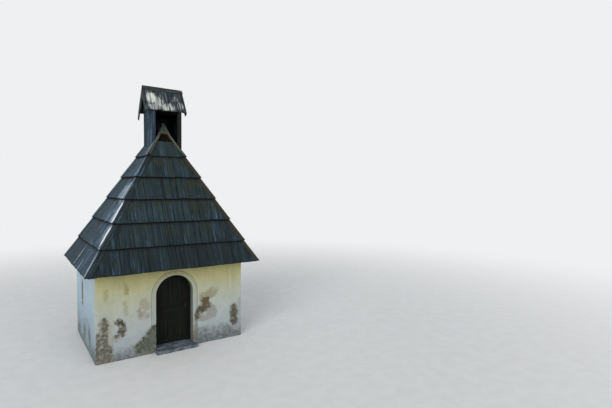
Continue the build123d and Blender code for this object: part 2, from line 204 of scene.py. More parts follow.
def on_slope(side):
    """A map from (across, height above ground, raise) to a point of one roof slope. The slope is the
    plane from eave to apex; a raise of r lies r * cosine of the pitch out along the slope's normal."""
    run = RUNS[side]
    cosine, sine = run / math.hypot(run, RISE), RISE / math.hypot(run, RISE)
    flat = RIDGE / 2 if side in FRONTAL else 0
    sign = -1 if side in ("front", "left") else 1

    def place(across, z, lift):
        out = flat + run * (APEX - z) / RISE + lift * cosine * sine
        up = z + lift * cosine * cosine
        if side in FRONTAL:
            return xyz(APEX_X + across, MID_Y + sign * out, up)
        return xyz(APEX_X + sign * out, MID_Y + across, up)
    return place


def hip_reach(side, z, lift=0.0):
    """How far along its slope the hips are from the middle, to the left and to the right, for a
    surface raised by lift: run * (apex - z + lift * sine of the pitch squared) / rise."""
    drop = (APEX - z + lift * (RISE ** 2 / (RISE ** 2 + RUNS[side] ** 2))) / RISE
    if side in FRONTAL:
        return RUN_LEFT * drop, RUN_RIGHT * drop
    return RIDGE / 2 + RUN_Y * drop, RIDGE / 2 + RUN_Y * drop


def hole_edge(sign, z, inside):
    """Distance from the middle of a line beside the hip on one side of the gablet, set in by inside."""
    slope = (RUN_LEFT if sign < 0 else RUN_RIGHT) / RISE
    return slope * (APEX + HOLE_LIFT - z) - inside * math.hypot(1, slope)


def fit_between(cuts, z0, z1, limits, gap, rows, start, least=0.02):
    """Boards between cuts, narrowed where they meet the limits on both sides. A board ends where the
    limit leaves it less than the least width. limits(z) gives the reach to the left and to the right."""
    middle = (cuts[:-1] + cuts[1:]) / 2
    near = np.where(cuts[:-1] * cuts[1:] < 0, 0, np.minimum(np.abs(cuts[:-1]), np.abs(cuts[1:])))
    steps = np.linspace(z0, z1, 80)
    to_left, to_right = limits(steps)
    reach = np.where(middle[None] < 0, to_left[:, None], to_right[:, None])
    stop = np.where(reach > near[None] + least, steps[:, None], z0).max(0)
    z = start[:, None] + np.linspace(0, 1, rows) * (stop - start)[:, None]
    to_left, to_right = limits(z)
    left = np.maximum(cuts[:-1, None] + gap, -to_left)
    right = np.minimum(cuts[1:, None] - gap, to_right)
    return left, right, stop, z


BOARD_WIDTH = {"front": 0.235, "back": 0.235, "left": 0.20, "right": 0.20}
# Points along a board, how far a course runs under the next, how much the joints wander as a share of the
# width, half of an open joint, and the width and the highest end of a hip board.
ROWS, OVERLAP, SHAKE, JOINT, HIP_WIDE, HIP_TOP = 7, 0.045, 0.22, 0.0035, 0.135, 5.70
# Of the under layer and the upper layer: start above the course's line, raise of the lower face at the
# butt and its loss over a course, and the same of the upper face.
LAYERS = ((0.006, 0.004, 0.044, 0.051, 0.058), (-0.010, 0.053, 0.056, 0.101, 0.083))
# The raises and losses of a hip board, in the same order.
HIP_LAYER = (0.098, 0.082, 0.128, 0.058)


def course_boards(side, course, rng, layer):
    """One layer of one course: boards side by side between the hips, or between the gablet's bands."""
    z0 = EAVE + COURSE_RISE * course
    z1 = min(z0 + COURSE_RISE + OVERLAP, APEX - 0.03)
    gabled = side in FRONTAL and course == COURSES - 1
    if gabled:
        z1 = SILL + 0.01

    def limits(z):
        if gabled:
            return hole_edge(-1, z, 0.04), hole_edge(1, z, 0.04)
        to_left, to_right = hip_reach(side, z)
        return to_left - 0.01, to_right - 0.01
    to_left, to_right = limits(np.array(z0))
    count = max(3, int(round((to_left + to_right) / BOARD_WIDTH[side])))
    cuts = np.linspace(-to_left, to_right, count + 1)
    pitch = cuts[1] - cuts[0]
    cuts[1:-1] += rng.uniform(-SHAKE, SHAKE, count - 1) * pitch + (0.5 * pitch if layer == 0 else 0)
    cuts = np.clip(cuts, -to_left, to_right)
    butt, under, under_loss, over, over_loss = LAYERS[layer]
    start = z0 + butt + np.abs(rng.normal(0, 0.004, count))
    left, right, stop, z = fit_between(cuts, z0, z1, limits, JOINT, ROWS, start)
    part = (z - z0) / COURSE_RISE
    lift = layer * rng.uniform(-0.006, 0.0, count)[:, None] * (1 - part)
    under, over = under - under_loss * part + lift, over - over_loss * part + lift
    if gabled:
        under, over = under - 0.020 * (1 - part), over * 0.72
    keep = (stop - start > 0.05) & (right[:, 0] > left[:, 0])
    return [a[keep] for a in (left, right, start, stop, under, over)]


def hip_edges(side, rng):
    """The boards that cover both sides of each hip, one for each course, running beside the hip line.
    On the front and back the gablet's bands take the place of the uppermost ones."""
    found = []
    for course in range(COURSES - (side in FRONTAL)):
        z0 = EAVE + COURSE_RISE * course - (0.008 if course else 0.0)
        z1 = HIP_TOP if course == COURSES - 1 else z0 + COURSE_RISE + 0.03
        z = z0 + np.linspace(0, 1, ROWS) * (z1 - z0)
        part = (z - z0) / COURSE_RISE
        under, over = HIP_LAYER[0] - HIP_LAYER[1] * part, HIP_LAYER[2] - HIP_LAYER[3] * part
        for sign, reach in zip((-1, 1), hip_reach(side, z, over)):
            wide = HIP_WIDE + rng.uniform(-0.012, 0.018)
            edges = np.sort(np.stack([sign * (reach - 0.002), sign * np.maximum(reach - wide, 0.004)]), 0)
            found.append((edges[0], edges[1], z0, z1, under, over))
    return [np.array([f[i] for f in found]) for i in range(6)]


def joined(parts):
    """Several layers of boards, given as lists of the same six things, become one."""
    return [np.concatenate([p[i] for p in parts]) for i in range(6)]


def sheathing(side, count=12):
    """Closed boarding under the courses, down to the level of the rafters."""
    z0, z1 = EAVE + 0.012, SILL + 0.004 if side in FRONTAL else APEX + UNDER - 0.01

    def limits(z):
        to_left, to_right = hip_reach(side, z, UNDER)
        return to_left - 0.002, to_right - 0.002
    to_left, to_right = limits(np.array(z0))
    cuts, start = np.linspace(-to_left, to_right, count + 1), np.full(count, z0)
    left, right, stop, z = fit_between(cuts, z0, z1, limits, 0.001, ROWS, start)
    return [left, right, start, stop, np.full_like(z, UNDER + 0.002), np.full_like(z, -0.012)]


def tip_boards(side):
    """Three short boards from behind the gablet's blunt top up to a point above the peak, a hand
    higher in front."""
    top = APEX + (0.095 if side == "front" else 0.012)

    def limits(z):
        reach = 0.40 * (top + 0.06 - z)
        return reach - 0.022, reach + 0.022
    z0 = HOLE_TOP - 0.01
    to_left, to_right = limits(np.array(z0))
    cuts = np.array([-to_left, -0.030, 0.050, to_right])
    start = np.full(3, z0)
    left, right, stop, z = fit_between(cuts, z0, top, limits, 0.002, 6, start, 0.012)
    return [left, right, start, stop, -0.01, 0.045]


def roof_slope(side, seed):
    """All the courses of one slope: under layer, upper layer, and the boarding below them."""
    rng = np.random.default_rng(seed)
    parts = [course_boards(side, c, rng, layer) for c in range(COURSES) for layer in (0, 1)]
    return lay_boards("roof_boards_" + side, on_slope(side), *joined(parts + [sheathing(side)]), seed=seed)


# ---------------------------------------------------------------- the gablets

def gablet_line(inside, top, low):
    """The gablet's edge in (across, height): up beside the left hip, over a blunt rounded top, and
    down beside the right hip. Its corners are eased by averaging each point with its neighbours."""
    soft = 0.6 * hole_edge(1, top, inside)
    turn = top - 1.5 * soft
    left, right = -hole_edge(-1, turn, inside), hole_edge(1, turn, inside)
    a, b = 0.35 * soft, top - 0.45 * soft
    knots = np.array([(-hole_edge(-1, low, inside), low), (left, turn), (left + a, b), (left + soft, top),
                      (right - soft, top), (right - a, b), (right, turn), (hole_edge(1, low, inside), low)])
    place = np.concatenate([np.linspace(k, k + 1, n, endpoint=False) for k, n in
                            enumerate((10, 4, 4, 4, 4, 4, 10))] + [[7.0]])
    line = xyz(*(np.interp(place, np.arange(len(knots)), knot) for knot in knots.T))
    for _ in range(3):
        line[1:-1] = line[1:-1] * 0.5 + (line[:-2] + line[2:]) * 0.25
    return line


def band_raise(z):
    """How far the gablet's bands stand up from the plane of the slope, at height z."""
    return 0.152 - 0.055 * (z - 5.0) / COURSE_RISE


def gablet_bands(side, seed):
    """The bent board round the gablet, and the lining on the inner side of its opening."""
    outer, inner = gablet_line(0.002, RIM_TOP, TRIM_LOW), gablet_line(BAND_WIDE, HOLE_TOP, TRIM_LOW)
    band = bent_board("gablet_band_" + side, on_slope(side), outer, inner, UNDER,
                      band_raise(outer[:, 1]), seed)
    first = gablet_line(BAND_WIDE, HOLE_TOP, SILL - 0.01)
    second = gablet_line(BAND_WIDE + 0.013, HOLE_TOP - 0.012, SILL - 0.01)
    lining = bent_board("gablet_lining_" + side, on_slope(side), first, second, -0.11,
                        band_raise(first[:, 1]) - 0.03, seed + 1, ease=0.002)
    return band, lining


def gablet_infill(side, seed, count=4):
    """Upright boards that close the gablet's opening, set back behind its edge and cut along it."""
    reach = hole_edge(1, SILL, BAND_WIDE) + 0.02

    def high(across):
        slope = np.where(across < 0, RUN_LEFT, RUN_RIGHT) / RISE
        edge = APEX + HOLE_LIFT - (np.abs(across) + (BAND_WIDE + 0.002) * np.hypot(1, slope)) / slope
        return np.clip(edge, SILL + 0.01, HOLE_TOP)
    edges = edges_between(np.linspace(-reach - 0.01, reach, count + 1), 0.0015, 4)
    return lay_boards("gablet_boards_" + side, on_slope(side), *edges, SILL - 0.03, high, -0.128, -0.075,
                      seed, wander=0.0004)


# ---------------------------------------------------------------- the turret

def roof_height(x, y):
    """Height just below the main roof's surface at a place in plan: the lower of its two slopes."""
    side = APEX - SUNK - np.abs(x - APEX_X) * RISE / np.where(x < APEX_X, RUN_LEFT, RUN_RIGHT)
    front = APEX - SUNK - np.maximum(np.abs(y - MID_Y) - RIDGE / 2, 0) * RISE / RUN_Y
    return np.minimum(side, front)


def tent_height(y, gap=0.0):
    """Height at y of the lower face of the turret roof's boards, and less by a gap."""
    return TENT_RIDGE - (TENT_SKIN * TENT_LEAN + gap) - TENT_SLOPE * np.abs(y - MID_Y)


def upright_wall(name, axis, level, thick, start, stop, low, high, seed, count, gap=0.002):
    """Upright boards side by side in one plane, from the main roof to the turret roof."""
    rng = np.random.default_rng(seed)
    cuts = np.linspace(start, stop, count + 1)
    cuts[1:-1] += rng.uniform(-0.014, 0.014, count - 1)
    over = thick + math.copysign(1, thick) * rng.uniform(-0.005, 0.0, count)[:, None]

    def place(across, along, height):
        if axis == "x":
            return xyz(level + height, across, along)
        return xyz(across, level + height, along)
    return lay_boards(name, place, *edges_between(cuts, gap, 6), low, high, 0.0, over, seed, wander=0.0006,
                      ragged=0.003)


def on_tent(sign, way, height):
    """The y and z of a point so far down one slope of the turret roof, and so high above its plane."""
    down = way / TENT_LEAN
    out = down + height * TENT_SLOPE / TENT_LEAN
    return MID_Y + sign * out, TENT_RIDGE - down * TENT_SLOPE + height / TENT_LEAN


def turret_roof(sign, name, seed):
    """Boards down one slope of the turret roof, in two layers with staggered joints, ragged at the eave."""
    rng = np.random.default_rng(seed)
    parts = []

    def place(across, along, height):
        return xyz(across, *on_tent(sign, along, height))
    for count, base, back in ((7, -0.030, 0.012), (8, -0.014, 0)):
        cuts = np.linspace(TENT_X0, TENT_X1, count + 1)
        cuts[1:-1] += rng.uniform(-0.025, 0.025, count - 1)
        start = TENT_HALF * TENT_LEAN - np.abs(rng.normal(0, 0.008, count)) - back
        left, right = edges_between(cuts, 0.002, ROWS)
        over = np.full_like(left, base + 0.015) + rng.uniform(-0.002, 0.0, count)[:, None]
        parts.append((left, right, start, np.full(count, 0.012), np.full_like(left, base), over))
    return lay_boards(name, place, *joined(parts), seed=seed, ragged=-0.006, wander=0.001)


def verge_boards(seed=71):
    """Boards that hang below the turret roof's ends. They run down each slope in the plane of the end
    and meet on the middle line. The one at the back on the left hangs a hand's breadth below the eave."""
    made = []
    for end, x in (("left", TENT_X0 + 0.001), ("right", TENT_X1 - 0.024)):
        for face, sign, tail in (("front", -1, -0.002), ("back", 1, 0.078 if end == "left" else 0.01)):
            def place(across, along, height, x=x, sign=sign):
                return xyz(x + height, *on_tent(sign, along, -across))
            made.append(lay_boards(
                "verge_%s_%s" % (end, face), place, np.full((1, 8), 0.031), np.full((1, 8), 0.138),
                (TENT_HALF + tail) * TENT_LEAN, lambda across: across * TENT_SLOPE + 0.001, 0.0, 0.022,
                seed=seed + len(made), ragged=-0.004))
    return made


def ridge_boards(seed=81):
    """Two long boards laid over the turret roof's ridge, one down each slope, lapped at the top."""
    made = []
    for name, sign, top in (("front", -1, -0.022), ("back", 1, 0.004)):
        def place(across, along, height, sign=sign):
            return xyz(along, *on_tent(sign, across, height))
        made.append(lay_boards(
            "ridge_board_" + name, place, np.full((1, 12), top), np.full((1, 12), 0.108), TENT_X0, TENT_X1,
            0.001, 0.022, seed=seed + len(made), wander=0.0012, ragged=0.004))
    return made


# ---------------------------------------------------------------- the doorway

def arch_line(radius, low, jamb=14, bend=40):
    """(x, z) up the left jamb, round the arch and down the right jamb: x = -radius, then
    -radius * cosine of the turn with z = spring + radius * sine of the turn, then x = radius."""
    turn = np.linspace(0, math.pi, bend)
    up = np.linspace(low, SPRING, jamb, endpoint=False)
    x = np.concatenate([np.full(jamb, -radius), -radius * np.cos(turn), np.full(jamb, radius)])
    return xyz(x, np.concatenate([up, SPRING + radius * np.sin(turn), up[::-1]]))


def facing_front(level):
    """A map from (x, z, height towards the front) to a point, measured from a plane y = level."""
    return lambda across, along, height: xyz(across, level - height, along)


def door_leaf(seed=91):
    """Upright planks cut to the round head: the upper end is at spring + root(radius2 - x2)."""
    def high(across):
        return SPRING + np.sqrt(np.maximum(LEAF_HALF ** 2 - across ** 2, 0.0004)) - 0.001
    edges = edges_between(np.array([-0.399, -0.262, -0.118, 0.012, 0.150, 0.285, 0.399]), 0.0015, 8)
    return lay_boards("door_planks", facing_front(DOOR_FACE), *edges, LEAF_FOOT + 0.001, high, 0.0, 0.037,
                      seed, wander=0.0004, ragged=0.002)


def door_ledges(seed=95):
    """The stiles and round head in one bent board, and the three rails between them."""
    stile = bent_board("door_stiles", facing_front(LEDGE_FACE), arch_line(LEAF_HALF - 0.001, LEAF_FOOT),
                       arch_line(LEAF_HALF - STILE, LEAF_FOOT), 0.0, 0.019, seed)

    def place(across, along, height):
        return xyz(along, LEDGE_FACE - height, across)
    left, right = (np.repeat(np.array(RAILS)[:, k, None], 8, 1) for k in (0, 1))
    end = STILE - LEAF_HALF - 0.004
    rails = lay_boards("door_rail_boards", place, left, right, end, -end, 0.0, 0.0175, seed + 1,
                       wander=0.0005, ragged=0.0005)
    return stile, rails


def door_case(seed=98):
    """The fixed timber frame behind the plaster arch, bent round the head in the same way."""
    return bent_board("door_case", facing_front(CASE_FACE), arch_line(DOOR_HALF + 0.002, 0.10),
                      arch_line(DOOR_HALF - 0.08, 0.10), 0.0, 0.088, seed, ease=0.006)


# The section of the band and the recess: reach from the door's middle and y, from the back round the front.
SURROUND = [(0.481, -1.303), (0.481, -1.36), (0.481, -1.43), (0.481, -1.494), (0.4835, -1.505),
            (0.4895, -1.511), (0.499, -1.514), (0.52, -1.5145), (0.56, -1.514), (0.579, -1.5125),
            (0.588, -1.509), (0.5935, -1.503), (0.5945, -1.49), (0.50, -1.485), (0.50, -1.303)]


def door_surround():
    """The plaster band and the side of the recess in one piece: a section of reach from the middle
    and depth, carried up the left jamb, round the arch and down the right jamb."""
    base = arch_line(0.0, 0.03, 40, 64)
    way = arch_line(1.0, 0.03, 40, 64) - base
    reach, depth = np.array(SURROUND).T
    points = xyz(way[:, None, 0] * reach, depth, base[:, None, 1] + way[:, None, 1] * reach)
    swell = uneven(points, 0.35, 5) * 0.0018 + uneven(points, 0.09, 6) * 0.0007
    side = (reach < 0.49) * 1.0
    points[..., 0] += way[:, None, 0] * swell * side
    points[..., 2] += way[:, None, 1] * swell * side
    points[..., 1] += np.maximum(swell, -0.0015) * (depth < -1.503) * 0.8
    return finish_mesh("door_surround", points, ring_faces(1, len(base), len(reach)), angle=0.9)


# ---------------------------------------------------------------- walls and stones

def grid_line(stops, step):
    """Numbers from the first stop to the last, about a step apart, with every stop among them."""
    parts = [np.linspace(a, b, max(2, int(round((b - a) / step)) + 1))[:-1] for a, b in zip(stops, stops[1:])]
    return np.concatenate(parts + [[stops[-1]]])


def unit(way):
    """Directions of length 1."""
    return way / np.maximum(np.linalg.norm(way, axis=1), 1e-9)[:, None]


# The stains on the plaster of each wall: kind, colour as it looks, and the outline as the place along the
# wall and the height of one corner after another, in centimetres.
STAINS = {
    "front": [
        ("damp", (84, 74, 52), 92, 122, 76, 124, 68, 120, 66, 104, 55, 95, 51, 80, 54, 64, 64, 69, 70, 78, 86,
         85, 96, 96, 96, 110),
        ("damp", (80, 77, 68), 153, 72, 157, 86, 164, 90, 172, 86, 177, 68, 177, 48, 171, 33, 162, 31, 156,
         44),
        ("damp", (112, 114, 106), 136, 33, 146, 39, 154, 36, 152, 28, 140, 26),
        ("damp", (52, 52, 45), -144, 91, -140, 97, -128, 97, -122, 92, -122, 78, -128, 78, -131, 86, -138,
         86),
        ("damp", (86, 78, 68), -124, 80, -121, 72, -124, 62, -131, 55, -144, 54, -148, 60, -139, 68, -134,
         78),
        ("flaked", (90, 87, 76), -176, 92, -172, 106, -166, 112, -160, 108, -158, 90, -164, 78, -162, 60,
         -163, 46, -154, 34, -150, 16, -158, 3, -182, 0, -188, 10, -188, 64, -181, 76),
        ("flaked", (64, 64, 54), -46, 72, -62, 64, -73, 53, -84, 38, -98, 26, -99, 14, -88, 17, -76, 27, -66,
         38, -58, 44, -46, 42),
        ("damp", (84, 90, 80), -46, 66, -70, 50, -95, 22, -97, 7, -80, 5, -46, 3),
        ("soft", (130, 126, 96), 120, 148, 115, 129, 101, 121, 85, 112, 66, 115, 66, 133, 90, 140, 98, 148),
        ("soft", (132, 128, 122), 95, 102, 110, 93, 114, 76, 106, 62, 90, 57, 72, 61, 60, 62, 66, 74, 84, 80),
        ("soft", (148, 144, 120), -88, 126, -88, 116, -76, 112, -62, 112, -59, 120, -63, 136, -75, 144, -85,
         136),
        ("soft", (132, 122, 110), -95, 114, -94, 99, -85, 89, -72, 87, -58, 93, -57, 108, -70, 108, -82, 110,
         -90, 118),
        ("soft", (152, 148, 132), -162, 102, -154, 100, -150, 80, -149, 60, -150, 40, -162, 40, -166, 60,
         -168, 80),
        ("soft", (124, 116, 100), -128, 72, -124, 56, -140, 47, -155, 49, -152, 60, -138, 68),
        ("soft", (142, 132, 84), -122, 184, -115, 184, -116, 158, -121, 158),
        ("soft", (152, 153, 128), -124, 140, -118, 142, -117, 106, -122, 104),
        ("soft", (146, 146, 104), -169, 172, -161, 174, -160, 144, -167, 144),
        ("soft", (116, 110, 90), 49, 72, 58, 70, 56, 40, 57, 10, 49, 10),
        ("soft", (144, 148, 150), 174, 98, 188, 110, 188, 20, 166, 18, 156, 30, 174, 44),
        ("soft", (120, 118, 102), -46, 76, -64, 68, -76, 56, -88, 40, -102, 28, -104, 10, -90, 3, -46, 3),
        ("soft", (130, 127, 112), -180, 92, -174, 110, -164, 112, -157, 100, -160, 80, -159, 56, -150, 36,
         -146, 10, -156, 0, -188, 0, -188, 70),
        ("soft", (122, 118, 108), 150, 72, 156, 90, 166, 94, 177, 88, 182, 66, 180, 42, 170, 28, 158, 28, 152,
         46),
        ("soft", (126, 120, 108), -146, 95, -132, 100, -120, 92, -119, 70, -128, 54, -146, 52, -136, 70, -136,
         84),
    ],
    "left": [
        ("flaked", (112, 118, 116), -149, 34, -136, 40, -122, 26, -102, 30, -86, 16, -60, 20, -42, 8, -10, 12,
         20, 5, 52, 13, 80, 10, 106, 24, 126, 20, 149, 36, 149, 0, -149, 0),
        ("soft", (140, 153, 162), 150, 50, 116, 62, 80, 46, 40, 58, 4, 74, -36, 84, -70, 76, -92, 52, -97, 26,
         -112, 0, 150, 0),
        ("damp", (112, 117, 114), -86, 38, -78, 60, -60, 68, -44, 52, -50, 34, -62, 16, -80, 14),
        ("damp", (118, 124, 124), -12, 46, 8, 58, 28, 44, 26, 30, 46, 18, 28, 6, 0, 14),
        ("damp", (120, 127, 126), 80, 28, 98, 42, 118, 34, 130, 18, 100, 8),
    ],
    "right": [
        ("flaked", (110, 108, 100), -149, 30, -130, 24, -112, 34, -90, 18, -62, 26, -36, 12, 0, 16, 34, 7, 70,
         18, 96, 12, 122, 30, 149, 26, 149, 0, -149, 0),
        ("soft", (150, 160, 166), -150, 60, -126, 48, -100, 54, -60, 40, 0, 34, 50, 30, 90, 52, 120, 62, 150,
         56, 150, 0, -150, 0),
        ("soft", (138, 136, 126), 96, 72, 102, 90, 120, 98, 136, 86, 134, 66, 142, 48, 130, 30, 110, 34),
        ("damp", (112, 106, 92), 102, 66, 106, 82, 118, 88, 130, 80, 128, 62, 136, 50, 130, 38, 116, 40, 114,
         54),
    ],
    "back": [
        ("flaked", (112, 110, 100), -186, 36, -162, 28, -140, 36, -112, 20, -84, 24, -52, 10, -10, 14, 30, 6,
         62, 16, 92, 12, 120, 28, 146, 22, 166, 36, 186, 30, 186, 0, -186, 0),
        ("soft", (150, 160, 166), -186, 66, -150, 54, -110, 58, -70, 38, -20, 32, 50, 30, 90, 46, 140, 50,
         186, 56, 186, 0, -186, 0),
        ("soft", (138, 136, 126), 80, 66, 94, 80, 116, 78, 124, 64, 134, 50, 124, 34, 102, 38, 90, 50),
        ("damp", (112, 106, 92), 86, 62, 96, 72, 112, 70, 116, 58, 128, 50, 122, 40, 106, 44, 98, 52),
    ],
}
FADE, SHALLOW = 0.25, 0.016


def depth_inside(along, z, outline):
    """How far each place lies inside a closed outline, in metres, negative outside: the distance to its
    nearest side, and the sign from the number of sides crossed on the way to the left."""
    corner = np.array(outline).reshape(-1, 2) / 100
    side = np.roll(corner, -1, 0) - corner
    away = xyz(along, z)[:, None] - corner
    part = np.clip((away * side).sum(-1) / (side * side).sum(-1), 0, 1)
    far = np.linalg.norm(away - part[..., None] * side, axis=-1).min(1)
    spans = (away[..., 1] < 0) != (away[..., 1] < side[:, 1])
    rise = np.where(side[:, 1] == 0, 1, side[:, 1])
    crossed = spans & (away[..., 0] > away[..., 1] * side[:, 0] / rise)
    return np.where(crossed.sum(1) % 2 == 1, far, -far)


def lay_stains(made):
    """Two colour attributes on a plaster piece, damp and soft. The colour is that of the nearest stain,
    and the alpha is how far the place lies inside it, plus the fade. A flaked stain is a damp one that
    never counts as deep, so that the noise breaks it up all over."""
    mesh = made.data
    place = np.zeros(len(mesh.vertices) * 3)
    mesh.vertices.foreach_get("co", place)
    x, y, z = place.reshape(-1, 3).T
    front = (y < 0.004 - WALL_Y) | ((np.abs(x) < 0.62) & (y < 0))
    walls = {"front": (x, front), "back": (x, y > WALL_Y - 0.004), "left": (y, ~front & (x < 0.004 - WALL_X)),
             "right": (y, ~front & (x > WALL_X - 0.004))}
    for kind in ("damp", "soft"):
        nearest, tint = np.full(len(x), -FADE), np.zeros((len(x), 4), np.float32)
        for wall, sort, colour, *outline in [(wall, *stain) for wall in STAINS for stain in STAINS[wall]]:
            if (sort == "soft") == (kind == "soft"):
                depth = depth_inside(walls[wall][0], z, outline)
                depth = np.minimum(depth, SHALLOW) if sort == "flaked" else depth
                here = walls[wall][1] & (depth > nearest)
                nearest[here] = depth[here]
                tint[here, :3] = rgb(*colour)[:3]
        tint[:, 3] = nearest + FADE
        mesh.attributes.new(kind, "FLOAT_COLOR", "POINT").data.foreach_set("color", tint.ravel())
    return made


def plaster_coat(step=0.029, radius=0.016, proud=0.008, rows=44):
    """The outer coat on all four walls. Three walls are a strip of outline points by heights, and the
    front is rows between the arch and the wall's outline. Each point of that box is pulled to the
    nearest point of a smaller box and pushed out by the radius, which rounds the upright corners,
    and is then moved along the same direction by the unevenness of old plaster."""
    bx, by = WALL_X + proud, WALL_Y + proud
    heights = grid_line([0.0, *WINDOW_Z, WALL_TOP - 0.002], step)
    flank = grid_line([-by, *WINDOW_Y, by], step)
    rear = grid_line([-bx, bx], step)
    outline = np.concatenate([xyz(-bx, flank), xyz(rear, by)[1:], xyz(bx, flank[::-1])[1:]])
    n, m = len(outline), len(heights)
    strip = xyz(*outline.T[:, :, None], heights)
    x, y, z = np.moveaxis((strip[:-1, :-1] + strip[1:, 1:]) / 2, -1, 0)
    window = np.abs(x) > bx - 0.001
    for place, (low, high) in ((y, WINDOW_Y), (z, WINDOW_Z)):
        window = window & (place > low) & (place < high)

    arch = arch_line(0.56, 0.0, 60, 90)
    gone, turn, across = way_along(arch), SPRING + 0.44, rear[1:-1]
    spots = np.concatenate([np.linspace(0, turn, m),
                            np.linspace(turn, gone[-1] - turn, len(across) + 2)[1:-1],
                            np.linspace(gone[-1] - turn, gone[-1], m)])
    inner = xyz(*(np.interp(spots, gone, part) for part in arch.T))
    outer = np.concatenate([xyz(-bx, heights), xyz(across, heights[-1]), xyz(bx, heights[::-1])])
    flat = inner[None] + np.linspace(0, 1, rows)[:, None, None] * (outer - inner)[None]
    front = xyz(flat[..., 0], -by, flat[..., 1])
    faces = grid_faces(n, m, keep=~window) + grid_faces(rows, len(inner), n * m)

    points = np.concatenate([strip.reshape(-1, 3), front.reshape(-1, 3)])
    size = np.array([bx, by]) - radius
    core = np.clip(points[:, :2], -size, size)
    from_arch = np.hypot(points[:, 0], np.maximum(points[:, 2] - SPRING, 0))
    calm = np.where(points[:, 1] < 1 - by, np.clip((from_arch - 0.57) / 0.3, 0, 1), 1.0)
    swell = np.clip(0.0034 * uneven(points, 1.1, 21) + 0.0016 * uneven(points, 0.3, 22), -0.006, 0.006)
    shift = radius + swell * calm - 0.005 * (1 - calm)
    points[:, :2] = core + unit(points[:, :2] - core) * shift[:, None]
    made = finish_mesh("plaster_coat", points, faces, closed=False, angle=1.0)
    rim = made.modifiers.new("rim", "SOLIDIFY")
    rim.thickness, rim.offset, rim.use_rim_only = 0.03, -1.0, True
    return made


def worn_slab(name, low, high, radius, seed, wear, step=0.02):
    """A slab of stone. Each point of a box of six grids is pulled to the nearest point of a smaller box
    and pushed out by the radius, then worn back by an uneven amount of at most twice the wear."""
    low, high = np.array(low), np.array(high)
    lines = [grid_line([low[k], high[k]], step) for k in range(3)]
    points, faces, count = [], [], 0
    for k in range(3):
        u, v = [q for q in range(3) if q != k]
        for level in (low[k], high[k]):
            grid = np.zeros((len(lines[u]), len(lines[v]), 3))
            grid[..., u], grid[..., v], grid[..., k] = lines[u][:, None], lines[v], level
            faces += grid_faces(*grid.shape[:2], count)
            points.append(grid.reshape(-1, 3))
            count += len(points[-1])
    points = np.concatenate(points)
    core = np.clip(points, low + radius, high - radius)
    worn = np.clip(uneven(points, 0.4, seed) + 0.5 * uneven(points, 0.1, seed + 1) + 0.8, 0, 2) * wear
    return finish_mesh(name, core + unit(points - core) * (radius - worn)[:, None], faces, angle=0.9)


# ---------------------------------------------------------------- shader helpers
# A colour of three numbers is as it looks on screen, 0 to 255. One of four is in the shader's own values.

SOCKET = bpy.types.NodeSocket
FULL_DARK, LAP_DARK = (0.004, 0.005, 0.006, 1), (0.004, 0.0045, 0.005, 1)
CRACK_DARK = (0.006, 0.006, 0.006, 1)


def rgb(r, g, b):
    """A colour given as it looks on screen, 0 to 255, turned into the linear values of the shader."""
    linear = [(c / 255 / 12.92) if c < 10.3 else ((c / 255 + 0.055) / 1.055) ** 2.4 for c in (r, g, b)]
    return (*linear, 1.0)


def feed(target, value):
    """A socket as value is linked to the target, and anything else is set on it."""
    if isinstance(value, SOCKET):
        target.id_data.links.new(value, target)
    else:
        target.default_value = rgb(*value) if target.type == "RGBA" and len(value) == 3 else value


def add(tree, kind, settings=None, **values):
    """One node, its settings and its inputs. An input is named, or numbered as i0, i1 and so on."""
    made = tree.nodes.new(kind)
    for key, value in (settings or {}).items():
        setattr(made, key, value)
    for key, value in values.items():
        feed(made.inputs[int(key[1:]) if key[0] == "i" and key[1:].isdigit() else key], value)
    return made


def tree_of(values):
    """The node tree of the first socket among some values."""
    return next(v for v in values if isinstance(v, SOCKET)).id_data


def compute(what, *values, clamp=False):
    """A value worked out from others. More than two are taken one after another."""
    while len(values) > 2:
        values = (compute(what, *values[:2]), *values[2:])
    made = add(tree_of(values), "ShaderNodeMath", {"operation": what, "use_clamp": clamp})
    for target, value in zip(made.inputs, values):
        feed(target, value)
    return made.outputs[0]


def times(*values, clamp=False):
    return compute("MULTIPLY", *values, clamp=clamp)


def plus(*values, clamp=False):
    return compute("ADD", *values, clamp=clamp)


def minus(first, second):
    return compute("SUBTRACT", first, second)


def swing(value, amount):
    """A value about 0.5 becomes one about 0, times the amount."""
    return times(minus(value, 0.5), amount)


def vector(what, *values, **named):
    """A vector worked out from others, or a length from one."""
    given = {"i%d" % k: value for k, value in enumerate(values)}
    made = add(tree_of(values), "ShaderNodeVectorMath", {"operation": what}, **given, **named)
    return made.outputs["Value" if what == "LENGTH" else 0]


def split(place):
    """The three numbers of a vector."""
    return add(place.id_data, "ShaderNodeSeparateXYZ", Vector=place).outputs


def blend(share, first, second, kind="MIX"):
    """Colour between first and second by share."""
    return add(tree_of((share, first, second)), "ShaderNodeMix", {"data_type": "RGBA", "blend_type": kind},
               i0=share, i6=first, i7=second).outputs[2]


def shade_by(colour, value):
    """A colour made darker or lighter by a value."""
    tree = tree_of((value, colour))
    grey = add(tree, "ShaderNodeCombineColor", Red=value, Green=value, Blue=value).outputs[0]
    return blend(1.0, colour, grey, "MULTIPLY")


def spread(value, low, high, to_low=0.0, to_high=1.0):
    """A value between low and high becomes one between to_low and to_high, eased at both ends."""
    return add(value.id_data, "ShaderNodeMapRange", {"interpolation_type": "SMOOTHSTEP"}, **{
        "Value": value, "From Min": low, "From Max": high, "To Min": to_low, "To Max": to_high}).outputs[0]


def vary(value, low, high):
    """Noise, which lies mostly between 0.3 and 0.7, becomes a value between low and high."""
    return spread(value, 0.3, 0.7, low, high)


